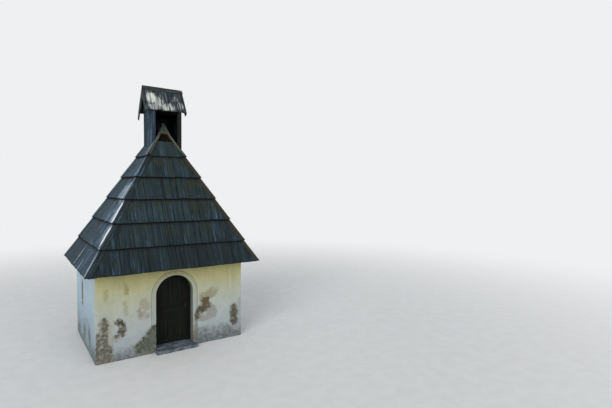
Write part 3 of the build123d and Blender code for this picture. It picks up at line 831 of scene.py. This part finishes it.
def ramp(value, stops):
    """A colour that follows a value through stops of (value, colour as it looks)."""
    start, span = stops[0][0], stops[-1][0] - stops[0][0]
    made = add(value.id_data, "ShaderNodeValToRGB", Fac=compute("DIVIDE", minus(value, start), span))
    line = made.color_ramp.elements
    for place, colour in stops[1:-1]:
        line.new((place - start) / span).color = rgb(*colour)
    line[0].color, line[len(line) - 1].color = rgb(*stops[0][1]), rgb(*stops[-1][1])
    return made.outputs[0]


def noise(place, scale, stretch=(1, 1, 1), detail=4.0, rough=0.55):
    turned = add(place.id_data, "ShaderNodeMapping", Vector=place, Scale=stretch).outputs[0]
    return add(place.id_data, "ShaderNodeTexNoise", Vector=turned, Scale=scale, Detail=detail,
               Roughness=rough).outputs[0]


def along_grain(along, across, run, detail=3.0, rough=0.6, board=30):
    """Noise over boards, so fine across and along the grain, and another for each board."""
    return noise(along, 1.0, (across, run, board), detail, rough)


def group(name, inputs, outputs):
    """An empty node group with these named inputs and outputs."""
    tree = bpy.data.node_groups.new(name, "ShaderNodeTree")
    for way, sockets in (("INPUT", inputs), ("OUTPUT", outputs)):
        for label, kind in sockets.items():
            tree.interface.new_socket(label, in_out=way, socket_type="NodeSocket" + kind)
    return tree.nodes.new("NodeGroupInput").outputs, tree.nodes.new("NodeGroupOutput").inputs, tree


def use_group(which, **values):
    return add(tree_of(values.values()), "ShaderNodeGroup", {"node_tree": which}, **values).outputs


def weathered_grain():
    """Old wood left to the weather. Along holds metres across, metres along and a number for each board.
    Gives grain, long streaks, cracks, broad patches and a height, all stretched along the wood."""
    given, out, tree = group("weathered_grain", {"Along": "Vector", "Dark": "Color", "Light": "Color",
                                                 "Streak": "Color", "Streaks": "Float", "Tone": "Float"},
                             {"Color": "Color", "Grain": "Float", "Height": "Float"})
    along = given["Along"]
    mixed = plus(times(along_grain(along, 60, 1.6, rough=0.55), 0.6),
                 times(along_grain(along, 210, 5, 4.0), 0.4))
    wide = plus(times(mixed, 0.5), times(along_grain(along, 19, 0.7), 0.5))
    crack = spread(along_grain(along, 75, 0.9, 2.0, 0.55), 0.66, 0.70)
    base = blend(spread(wide, 0.38, 0.62), given["Dark"], given["Light"])
    patch = along_grain(along, 3.4, 2.4, rough=0.55, board=9)
    silver = times(spread(along_grain(along, 26, 1.3), 0.50, 0.66), spread(patch, 0.42, 0.60),
                   given["Streaks"], clamp=True)
    base = shade_by(blend(silver, base, given["Streak"]), plus(times(given["Tone"], 0.5), 0.75))
    feed(out["Color"], blend(times(crack, 0.8), base, CRACK_DARK))
    feed(out["Grain"], mixed)
    feed(out["Height"], minus(mixed, times(crack, 1.2)))
    return tree


def weather_and_glint_patch():
    """One patch: the distance from its centre, in units of its size, turned into a mask that is full up
    to half the size and gone at five quarters of it. The stronger of it and the mask before it stays."""
    given, out, tree = group("weather_and_glint_patch", {"Place": "Vector", "Centre": "Vector", "Size": "Vector",
                                               "Before": "Float", "Strength": "Float"}, {"Mask": "Float"})
    away = vector("DIVIDE", vector("SUBTRACT", given["Place"], given["Centre"]), given["Size"])
    mask = times(spread(vector("LENGTH", away), 1.25, 0.5), given["Strength"])
    feed(out["Mask"], compute("MAXIMUM", mask, given["Before"]))
    return tree


GRAIN, PATCH = weathered_grain(), weather_and_glint_patch()


def new_material(name, gloss=0.2):
    """A new material, the place in the object's own coordinates, and the inputs of its shader."""
    made = bpy.data.materials.new(name)
    made.use_nodes = True
    tree = made.node_tree
    shader = next(n for n in tree.nodes if n.type == "BSDF_PRINCIPLED")
    shader.inputs["Specular IOR Level"].default_value = gloss
    return made, add(tree, "ShaderNodeTexCoord").outputs["Object"], shader.inputs


def surface(shader, colour, rough, strength, distance, height):
    """Colour and roughness of a shader, and a bump of this height."""
    bump = add(rough.id_data, "ShaderNodeBump", Strength=strength, Distance=distance, Height=height)
    feed(shader["Base Color"], colour)
    feed(shader["Roughness"], rough)
    feed(shader["Normal"], bump.outputs[0])


def patches(place, table):
    """The strongest of all the patches of a table at each place, which noise has pushed about, so that
    the edges are uneven."""
    shift = add(place.id_data, "ShaderNodeTexNoise", Vector=place, Scale=9.0, Detail=6.0, Roughness=0.68)
    push = vector("SCALE", vector("SUBTRACT", shift.outputs["Color"], (0.5, 0.5, 0.5)), Scale=0.16)
    bent, mask = vector("ADD", place, push), 0.0
    for centre, size, strength in table:
        mask = use_group(PATCH, Place=bent, Centre=centre, Size=size, Before=mask, Strength=strength)["Mask"]
    return mask


# ---------------------------------------------------------------- wood

def board_wood(name, dark, light, streak, streaks, near_butt, lapped=False, bleach_and_glints=None, torn=None,
               fine=1.0, moss=None, right=None, far=None, hollow=False):
    """Weathered boards that carry the grain map and the tone of each board. Streaks gather near the
    butt, and the end grain is dark. On lapped boards the strip below the next course is dark with dirt
    and with painted shadow under the butt above. A table of patches may lie on top: real sun-bleaching
    on the turret roof, and painted glints, highlights where the left slope and its hip catch the light;
    torn is how fine they are across and along the grain, and how full. fine narrows the grain, moss is
    a colour that grows away from the butts on boards that are darker towards the eave, right is a colour
    for the boards right of the middle, far is one that the boards take on towards the back, and hollow
    paints shade on the inner faces of the turret."""
    made, place, shader = new_material(name)
    tree = made.node_tree
    across, run, _ = split(add(tree, "ShaderNodeUVMap", {"uv_map": "grain"}).outputs[0])
    tone = add(tree, "ShaderNodeAttribute", {"attribute_name": "tone"}).outputs["Fac"]
    along = add(tree, "ShaderNodeCombineXYZ", X=times(across, fine), Y=run, Z=times(tone, 5.0)).outputs[0]
    x, y, z = split(place)
    amount = times(spread(run, 0.42, 0.06, 1.0 - near_butt, 1.0),
                   spread(compute("FRACT", times(tone, 7.31)), 0.25, 0.75, 0.25, 1.0), streaks * 1.6)
    if moss:
        amount = times(amount, spread(z, 3.2, 4.6, 1.0, 0.5))
    got = use_group(GRAIN, Along=along, Dark=dark, Light=light, Streak=streak, Streaks=amount, Tone=tone)
    colour, grain = got["Color"], got["Grain"]
    if right:
        colour = blend(spread(x, -0.05, 0.15), colour, shade_by(right, vary(grain, 0.45, 1.5)))
    if moss:
        grown = times(spread(noise(place, 3.2, (1, 1, 0.7), 5.0, 0.6), 0.44, 0.62),
                      spread(run, 0.04, 0.36, 0.25, 0.75), spread(z, 2.4, 4.2, 0.7, 1.25), clamp=True)
        colour = blend(grown, colour, shade_by(moss, vary(grain, 0.5, 1.5)))
        colour = shade_by(colour, spread(z, 2.2, 3.7, 0.68, 1.0))
    if far:
        colour = blend(spread(y, -1.0, 1.0, 0.0, 0.85), colour, shade_by(far, vary(grain, 0.5, 1.5)))
    # Painted shade: inside the turret the boards' inner faces are darkened as if in shadow.
    if hollow:
        least = compute("MINIMUM", minus(x, TURRET_X0), minus(TURRET_X1, x), minus(y, TURRET_Y0),
                        minus(TURRET_Y1, y))
        colour = blend(spread(least, 0.012, 0.022, 0.0, 0.82), colour, FULL_DARK)
    # Patches laid on top: real sun-bleaching, and painted glints where the table holds highlights.
    if bleach_and_glints:
        mask = patches(place, bleach_and_glints)
        fray = plus(along_grain(along, *torn[:2]), times(compute("MINIMUM", mask, 1.2), torn[2]))
        colour = blend(times(mask, spread(fray, 0.56, 0.78), clamp=True), colour, streak)
    colour = blend(times(spread(run, 0.022, 0.004), 0.85), colour, CRACK_DARK)
    # Below the next course's butt: dirt in the lap, and painted shadow under the butt, darkest close under
    # it.
    if lapped:
        lap_dirt_and_shadow = times(spread(run, LAP - 0.10, LAP - 0.005, 0.0, 0.6), spread(run, LAP + 0.2, LAP + 0.1))
        lap_dirt_and_shadow = plus(lap_dirt_and_shadow, spread(run, LAP - 0.026, LAP - 0.012, 0.0, 0.4), clamp=True)
        colour = blend(lap_dirt_and_shadow, colour, LAP_DARK)
    surface(shader, colour, vary(grain, 0.9, 0.7), 0.6, 0.0015, got["Height"])
    return made


def timber(name, dark, light, streak, axis="z", gloss=0.2):
    """Sawn timber on CAD solids: the same grain, run along one axis of the object's own coordinates."""
    made, place, shader = new_material(name, gloss)
    x, y, z = split(place)
    first, run, other = {"z": (x, z, y), "x": (y, x, z), "y": (x, y, z)}[axis]
    along = add(made.node_tree, "ShaderNodeCombineXYZ", X=plus(first, times(other, 0.7)), Y=run, Z=0.3)
    got = use_group(GRAIN, Along=along.outputs[0], Dark=dark, Light=light, Streak=streak, Streaks=0.6,
                    Tone=noise(place, 1.3, detail=2.0))
    surface(shader, got["Color"], vary(got["Grain"], 0.9, 0.7), 0.5, 0.0015, got["Height"])
    return made


# ---------------------------------------------------------------- plaster, stone, iron, glass

# The colour of the lime wash at heights in metres, on the front and on the other walls. The yellow under the
# eave is the wash's own; its top stops are set a little lighter as painted light against the eave's shadow.
# The cool blue of the lower front and of the other walls is partly a painted cast of skylight on the white
# wash.
YELLOW_TO_GREY = [(0.30, (152, 161, 165)), (0.70, (163, 170, 169)), (1.03, (167, 172, 166)),
                  (1.25, (169, 173, 159)), (1.42, (171, 173, 151)), (1.60, (174, 175, 144)),
                  (1.78, (180, 176, 131)), (1.98, (186, 180, 126))]
COOL_WHITE = [(0.0, (128, 146, 160)), (0.6, (150, 168, 180)), (1.4, (172, 190, 200)), (2.0, (168, 188, 200))]


def stained(colour, kind, fray, edge, strength, mottle):
    """One kind of stain over a colour: a soft tint that fades at the edge of the outline, with a darker
    rim here and there just inside it. Gives the colour, the stain's own colour and the frayed depth."""
    kept = add(fray.id_data, "ShaderNodeAttribute", {"attribute_name": kind}).outputs
    depth = plus(minus(kept["Alpha"], FADE), fray)
    mask = times(spread(depth, -edge, edge), spread(mottle, 0.34, 0.50, 0.45, 1.0), strength)
    rim = times(spread(compute("ABSOLUTE", minus(depth, edge * 0.3)), 0.020, 0.0),
                spread(mottle, 0.46, 0.58, 0.0, 0.40))
    colour = blend(mask, colour, kept["Color"])
    return blend(rim, colour, shade_by(kept["Color"], 0.62)), kept["Color"], depth


def plaster(name, where):
    """Lime wash over rough plaster. The front is yellow under the eave and paler and cooler lower
    down; the other walls are cool white. Stains lie on it, the foot is dark, and a thin grey line
    follows the outer edge of the band round the doorway. where is outside, band or inside."""
    made, place, shader = new_material(name, 0.25)
    x, y, z = split(place)
    broad, mid = noise(place, 1.3, detail=5.0, rough=0.6), noise(place, 5.0, detail=6.0, rough=0.62)
    flake, fine = noise(place, 15.0, detail=5.0, rough=0.6), noise(place, 45.0)
    drips = noise(place, 1.0, (9, 9, 0.8))
    level = plus(z, swing(broad, 0.4), swing(drips, 0.3))
    side = spread(y, 0.005 - WALL_Y, 0.05 - WALL_Y)
    colour = rgb(150, 150, 140) if where == "inside" else ramp(level, YELLOW_TO_GREY)
    if where == "outside":
        # Painted highlight: a pale strip down the front end of each side wall, where the corner catches the
        # light, over its worn edge.
        corner = times(spread(y, 0.16 - WALL_Y, 0.02 - WALL_Y), spread(level, 1.7, 1.1), 0.6)
        colour = blend(side, colour, blend(corner, ramp(level, COOL_WHITE), (186, 202, 212)))
    colour = shade_by(colour, vary(mid, 0.93, 1.05))
    colour = blend(times(spread(drips, 0.50, 0.74), spread(z, 0.9, 1.9, 0.08, 0.24)), colour, (124, 118, 84))
    height = plus(times(mid, 0.9), times(fine, 0.25))
    if where != "inside":
        over = compute("MAXIMUM", minus(z, SPRING), 0.0)
        reach = compute("SQRT", plus(times(x, x), times(over, over)))
        front = minus(1.0, side)
        if where == "band":
            arris = times(spread(reach, DOOR_HALF + 0.05, DOOR_HALF + 0.01, 0.0, 0.45), front)
            # On the band: its face a little greyer, the arris at the opening lighter, and the sides of the
            # recess darker, which is painted shade in the doorway's recess.
            for share, tint in ((times(front, 0.30), (116, 124, 112)), (arris, (172, 180, 178)),
                                (times(side, 0.8), (92, 102, 94))):
                colour = blend(share, colour, tint)
        low = minus(plus(z, times(mid, -0.7)), spread(x, -0.4, 0.7, 0.0, 0.16))
        foot = blend(spread(flake, 0.4, 0.6), (82, 87, 88), (116, 121, 122))
        colour = blend(spread(low, 0.02, -0.34, 0.0, 0.9), colour, foot)
        colour, _, _ = stained(colour, "soft", swing(mid, 0.30), 0.055, 0.75, mid)
        fray = plus(swing(mid, 0.16), swing(flake, 0.12))
        colour, tint, depth = stained(colour, "damp", fray, 0.035, 0.65, flake)
        deep = times(spread(plus(flake, times(depth, 2.2), swing(fine, 0.5)), 0.43, 0.70),
                     spread(depth, -0.035, 0.01, 0.0, 0.92))
        colour = blend(deep, colour, shade_by(tint, spread(mid, 0.36, 0.64, 0.62, 1.12)))
        height = minus(height, times(deep, 0.4))
        line = compute("ABSOLUTE", minus(reach, DOOR_HALF + BAND + 0.001))
        colour = blend(times(spread(line, 0.014, 0.003, 0.0, 0.5), front), colour, (92, 98, 94))
    height = plus(height, times(noise(place, 160.0, detail=2.0), 0.12))
    surface(shader, colour, vary(fine, 0.95, 0.8), 0.55, 0.006, height)
    return made


def stone(name, dark, light):
    """Grey stone: two scales of mottling, pits, and dirt in the low places."""
    made, place, shader = new_material(name, 0.3)
    mottle, fine = noise(place, 7.0, detail=6.0, rough=0.65), noise(place, 80.0)
    colour = blend(spread(mottle, 0.35, 0.65), dark, light)
    colour = blend(spread(fine, 0.5, 0.75, 0, 0.4), colour, dark)
    surface(shader, colour, vary(fine, 0.9, 0.7), 0.6, 0.006, plus(mottle, times(fine, 0.3)))
    return made


def iron(name):
    """Forged iron, dark and hammered, with rust where it is rough."""
    made, place, shader = new_material(name, 0.5)
    rust = spread(noise(place, 22.0, detail=6.0), 0.45, 0.62)
    colour = blend(rust, (0.012, 0.012, 0.013, 1), (0.022, 0.015, 0.010, 1))
    surface(shader, colour, spread(rust, 0, 1, 0.45, 0.9), 0.5, 0.001, noise(place, 60.0, detail=2.0))
    feed(shader["Metallic"], spread(rust, 0, 1, 0.9, 0.1))
    return made


def glass(name):
    """Old window glass with a slight wave and dust at its foot."""
    made, place, shader = new_material(name, 0.5)
    dust = noise(place, 30.0, detail=5.0)
    colour = blend(spread(dust, 0.4, 0.7), (0.85, 0.9, 0.88, 1), (0.6, 0.6, 0.55, 1))
    surface(shader, colour, spread(dust, 0.4, 0.7, 0.04, 0.3), 0.3, 0.004, noise(place, 9.0, detail=1.0))
    feed(shader["Transmission Weight"], 1.0)
    feed(shader["IOR"], 1.45)
    return made


# ---------------------------------------------------------------- finishes

# Centre, size and strength of patches on the boards. BLEACHED is real sun-bleaching on the turret's roof.
# GLINTS and HIP_GLINTS are painted glints: highlights where the left slope and its hip boards beside the
# front catch the light.
BLEACHED = [
    ((-0.24, -0.40, 6.62), (0.17, 1.0, 0.20), 1.05), ((-0.06, -0.40, 6.52), (0.16, 1.0, 0.20), 0.85),
    ((0.16, -0.50, 6.38), (0.24, 1.0, 0.15), 0.85), ((0.42, -0.30, 6.66), (0.10, 1.0, 0.10), 0.8),
    ((0.50, -0.50, 6.45), (0.12, 1.0, 0.16), 0.55), ((-0.20, -0.50, 6.36), (0.20, 1.0, 0.12), 0.75),
]
GLINTS = [
    ((-1.01, -0.76, 4.03), (0.40, 0.44, 0.30), 2.0), ((-1.24, -1.20, 3.52), (0.40, 0.20, 0.30), 1.6),
    ((-1.50, -1.34, 2.98), (0.40, 0.07, 0.16), 1.1), ((-1.42, -1.47, 3.20), (0.40, 0.06, 0.18), 0.9),
    ((-0.72, -0.80, 4.66), (0.40, 0.16, 0.24), 1.4), ((-1.93, -0.04, 2.38), (0.40, 0.045, 0.24), 2.4),
]
HIP_GLINTS = [
    ((-1.24, -1.26, 3.50), (0.50, 0.40, 0.30), 2.2), ((-1.52, -1.52, 3.00), (0.50, 0.40, 0.24), 1.6),
]
LAP = COURSE_RISE + 0.004
ROOF_FRONT = board_wood("roof_wood_front", (18, 29, 32), (44, 61, 66), (76, 104, 130), 0.6, 0.7, True,
                        moss=(41, 48, 40), fine=1.2)
# The left slope's boards are lighter and bluer than the front's: partly weathering, partly painted sky light
# where that slope catches it.
ROOF_LEFT = board_wood("roof_wood_left", (30, 46, 60), (82, 108, 132), (188, 204, 214), 0.8, 0.2, True,
                       bleach_and_glints=GLINTS, torn=(30, 0.7, 0.12), fine=1.6, moss=(60, 68, 62), far=(50, 64, 70))
ROOF_BACK = board_wood("roof_wood_back", (30, 38, 42), (62, 75, 81), (110, 130, 144), 0.9, 0.5, True,
                       moss=(66, 74, 58))
HIP_BACK = board_wood("hip_wood_back", (32, 38, 38), (64, 74, 76), (110, 126, 136), 0.8, 0.3, True)
HIP_FRONT = board_wood("hip_wood_front", (22, 30, 34), (46, 58, 62), (84, 112, 142), 0.9, 0.3, True,
                       right=(50, 47, 38))
# Painted highlight: the left slope's hip boards are near white where the hip edge catches the light.
HIP_LEFT = board_wood("hip_wood_left", (76, 90, 100), (128, 144, 154), (228, 234, 236), 0.25, 0.1, True,
                      bleach_and_glints=HIP_GLINTS, torn=(20, 1.4, 0.24), far=(62, 76, 84))
TURRET_WOOD = board_wood("turret_wood", (20, 31, 39), (50, 68, 82), (90, 114, 134), 0.8, 0.0, fine=1.4,
                         hollow=True)
CORNER_WOOD = board_wood("turret_corner_wood", (12, 14, 14), (30, 31, 29), (58, 62, 62), 0.5, 0.0)
TURRET_ROOF = board_wood("turret_roof_wood", (20, 29, 35), (54, 65, 71), (214, 218, 210), 0.3, 0.0,
                         bleach_and_glints=BLEACHED, torn=(42, 1.6, 0.20))
RIDGE_WOOD = board_wood("ridge_wood", (28, 31, 30), (55, 58, 55), (98, 104, 102), 0.6, 0.0)
VERGE_WOOD = board_wood("verge_wood", (40, 48, 42), (70, 78, 68), (104, 112, 102), 0.6, 0.0)
GABLET_BAND = board_wood("gablet_band_wood", (42, 44, 38), (80, 82, 69), (112, 114, 102), 0.7, 0.0)
# The gablet's infill is near black: the boards' own dark brown plus painted shade of the recessed opening.
GABLET_DARK = board_wood("gablet_infill_wood", (4, 4, 3), (13, 11, 8), (44, 34, 22), 0.35, 0.0)
GABLET_RED = board_wood("gablet_lining_wood", (30, 18, 14), (68, 41, 30), (88, 58, 44), 0.5, 0.0)
DOOR_WOOD = board_wood("door_wood_dark", (5, 7, 4), (17, 20, 12), (30, 31, 22), 0.6, 0.2)
# The roof's timbers and the turret's inner timbers are darker than their own old brown: painted shade of the
# dark roof space and the turret's inside.
DARK_TIMBER = timber("roof_timber_dark", (12, 10, 8), (27, 23, 18), (46, 38, 28), "y", 0.0)
DARK_TIMBER_X = timber("roof_timber_along", (12, 10, 8), (27, 23, 18), (46, 38, 28), "x", 0.0)
INNER_TIMBER = timber("turret_timber_dark", (2, 2, 2), (8, 9, 9), (12, 13, 13), "x", 0.0)
POST_TIMBER = timber("post_timber", (8, 9, 9), (20, 21, 20), (30, 32, 32), "z", 0.05)
WINDOW_WOOD = timber("window_wood_dark", (30, 31, 32), (54, 57, 60), (74, 80, 84))
WALL_PLASTER = plaster("wall_lime_wash", "outside")
BAND_PLASTER = plaster("band_lime_wash", "band")
INNER_PLASTER = plaster("inner_lime_wash", "inside")
STONE = stone("step_stone", (66, 74, 82), (116, 126, 134))
IRON = iron("hinge_iron")
GLASS = glass("window_pane_glass")


def put(piece, material, slot, *nodes, body="building"):
    """A piece gets its material, its place in the frame and the nodes it stands for."""
    piece.data.materials.append(material)
    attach(piece, body)
    if nodes:
        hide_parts(*nodes)


for side, seed, roof, hip in (("front", 11, ROOF_FRONT, HIP_FRONT), ("back", 12, ROOF_BACK, HIP_BACK),
                              ("left", 13, ROOF_LEFT, HIP_LEFT), ("right", 14, ROOF_BACK, HIP_BACK)):
    put(roof_slope(side, seed), roof, "roof_boards", "roof_" + side)
    edges = hip_edges(side, np.random.default_rng(seed + 20))
    boards = lay_boards("hip_boards_" + side, on_slope(side), *edges, seed=seed + 40)
    put(boards, hip, "roof_boards", "hip_strips")

for side, seed in (("front", 31), ("back", 35)):
    band, lining = gablet_bands(side, seed)
    put(band, GABLET_BAND, "trim_boards", "gablet_trim_" + side)
    put(lining, GABLET_RED, "gablet_red_boards")
    put(gablet_infill(side, seed + 2), GABLET_DARK, "gablet_red_boards", "gablet_boards_" + side)
    tip = lay_boards("gablet_tip_" + side, on_slope(side), *tip_boards(side), seed=seed + 3, ragged=0.002,
                     wander=0.0005)
    put(tip, VERGE_WOOD, "roof_boards")

for side, x, sign, seed in (("left", TURRET_X0, -1, 51), ("right", TURRET_X1, 1, 52)):
    wall = upright_wall("turret_%s_boards" % side, "x", x - sign * PLANK, sign * PLANK, TURRET_Y0 + PLANK,
                        TURRET_Y1, lambda y: roof_height(x, y), lambda y: tent_height(y, 0.002), seed, 6)
    put(wall, TURRET_WOOD, "turret_boards", "turret_side_" + side, "turret_gable_" + side)
back_top, front_top = (min(HEAD_TOP, float(tent_height(y))) for y in (TURRET_Y1, TURRET_Y0))
back = upright_wall("turret_back_boards", "y", TURRET_Y1 - PLANK, PLANK, TURRET_X0 + 0.026, TURRET_X1 - 0.026,
                    lambda x: roof_height(x, TURRET_Y1), back_top, 53, 5, gap=-0.0005)
put(back, TURRET_WOOD, "turret_boards", "turret_side_back")
for side, x0, material in (("left", TURRET_X0, TURRET_WOOD), ("right", TURRET_X1 - CORNER_WIDE, CORNER_WOOD)):
    board = upright_wall("turret_corner_" + side, "y", TURRET_Y0 + PLANK, -PLANK, x0, x0 + CORNER_WIDE,
                         lambda x: roof_height(x, TURRET_Y0), front_top, 54, 1)
    put(board, material, "turret_boards", "turret_corner_boards")
for face, sign, seed in (("front", -1, 61), ("back", 1, 62)):
    boards = turret_roof(sign, "turret_roof_boards_" + face, seed)
    put(boards, TURRET_ROOF, "turret_roof_boards", "turret_roof_" + face)
for board in verge_boards():
    put(board, VERGE_WOOD, "turret_boards", "turret_verges")
for board in ridge_boards():
    put(board, RIDGE_WOOD, "ridge_board", "turret_ridge_cap")

put(door_leaf(), DOOR_WOOD, "door_wood", "door_leaf", body="door")
for piece in door_ledges():
    put(piece, DOOR_WOOD, "door_wood", "door_rails", body="door")
put(door_case(), DOOR_WOOD, "door_wood", "door_frame")
put(lay_stains(door_surround()), BAND_PLASTER, "band_plaster", "door_band")
put(lay_stains(plaster_coat()), WALL_PLASTER, "wall_plaster")
for name, low, high, radius, seed, wear in (
        ("step_stone", (-0.53, -1.74, 0.0), (0.53, -1.512, 0.088), 0.022, 101, 0.006),
        ("threshold_stone", (-0.480, -1.518, 0.0), (0.480, -1.08, 0.1), 0.012, 103, 0.002)):
    put(worn_slab(name, low, high, radius, seed, wear), STONE, "stone_slab", "door_step")

# The CAD nodes that stay, with better materials.
for material, nodes in (
        (DARK_TIMBER, "tie_beams rafters_front rafters_back collar_beams hip_rafters"),
        (DARK_TIMBER_X, "stub_beams rafters_left rafters_right wall_plates ceiling_boards"),
        (INNER_TIMBER, "turret_frames turret_heads"), (POST_TIMBER, "king_post turret_posts"),
        (WINDOW_WOOD, "window_frame_left window_frame_right"),
        (INNER_PLASTER, "front_wall_left front_wall_right front_wall_over_door left_wall right_wall "
                        "back_wall"),
        (STONE, "floor_slab"), (IRON, "door_straps door_pintles door_latch"),
        (GLASS, "window_pane_left window_pane_right")):
    for node in nodes.split():
        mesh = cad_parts[node].data
        mesh.materials.clear()
        mesh.materials.append(material)


# ---------------------------------------------------------------- floor, light, camera

BACKDROP = (0.86, 0.87, 0.88, 1)


def floor_material():
    """Plain pale floor. Far from the object it turns to the flat colour of the background."""
    made, place, shader = new_material("pale_floor")
    tree = made.node_tree
    feed(shader["Base Color"], blend(vary(noise(place, 3.0, detail=5.0), 0.0, 1.0), (0.78, 0.78, 0.78, 1),
                                     (0.82, 0.82, 0.82, 1)))
    feed(shader["Roughness"], 0.9)
    glow = add(tree, "ShaderNodeEmission", Color=BACKDROP, Strength=1.0)
    seen = add(tree, "ShaderNodeLightPath").outputs["Is Camera Ray"]
    both = add(tree, "ShaderNodeMixShader", i0=times(spread(vector("LENGTH", place), 7.0, 24.0), seen),
               i1=shader["Roughness"].node.outputs[0], i2=glow.outputs[0])
    feed(next(n for n in tree.nodes if n.type == "OUTPUT_MATERIAL").inputs["Surface"], both.outputs[0])
    return made


def floor_disc(turns=48):
    """A wide flat disc: rings of points at growing radius, on the ground."""
    radius = np.array([0.0, 4, 8, 16, 40, 120])[:, None]
    turn = np.linspace(0, 2 * math.pi, turns + 1)[None, :-1]
    points = xyz(radius * np.cos(turn), radius * np.sin(turn), -0.001)
    r, t = np.meshgrid(np.arange(len(radius) - 1), np.arange(turns), indexing="ij")
    a, b = r * turns + t, r * turns + (t + 1) % turns
    mesh = bpy.data.meshes.new("floor")
    faces = xyz(a, a + turns, b + turns, b).reshape(-1, 4).tolist()
    mesh.from_pydata(points.reshape(-1, 3).tolist(), [], faces)
    return linked("floor", mesh)


floor = floor_disc()
floor.data.materials.append(floor_material())

world = bpy.data.worlds.new("studio")
bpy.context.scene.world = world
world.use_nodes = True
sky = world.node_tree
sky.nodes.clear()
lit = add(sky, "ShaderNodeBackground", Color=(0.93, 0.97, 1.0, 1), Strength=0.5)
shown = add(sky, "ShaderNodeBackground", Color=BACKDROP, Strength=1.0)
path = add(sky, "ShaderNodeLightPath").outputs
seen = compute("MAXIMUM", path["Is Camera Ray"], path["Is Transmission Ray"])
both = add(sky, "ShaderNodeMixShader", i0=seen, i1=lit.outputs[0], i2=shown.outputs[0])
add(sky, "ShaderNodeOutputWorld", Surface=both.outputs[0])


def turned(*degrees):
    return [math.radians(a) for a in degrees]


for name, strength, width, turn in (("key", 1.5, 0.6, (66, 0, -52)), ("fill", 0.8, 0.9, (72, 0, 12))):
    lamp = bpy.data.lights.new(name, "SUN")
    lamp.energy, lamp.angle = strength, width
    linked(name, lamp).rotation_euler = turned(*turn)

lens = bpy.data.cameras.new("camera")
lens.lens, lens.sensor_width, lens.sensor_fit, lens.clip_end = 24.9516, 36, "HORIZONTAL", 400
camera = linked("camera", lens)
camera.location = (-3.5408, -12.2954, 4.1872)
camera.rotation_euler = turned(87.8307, -0.4293, -35.353)
bpy.context.scene.camera = camera
bpy.context.scene.view_settings.view_transform = "Standard"
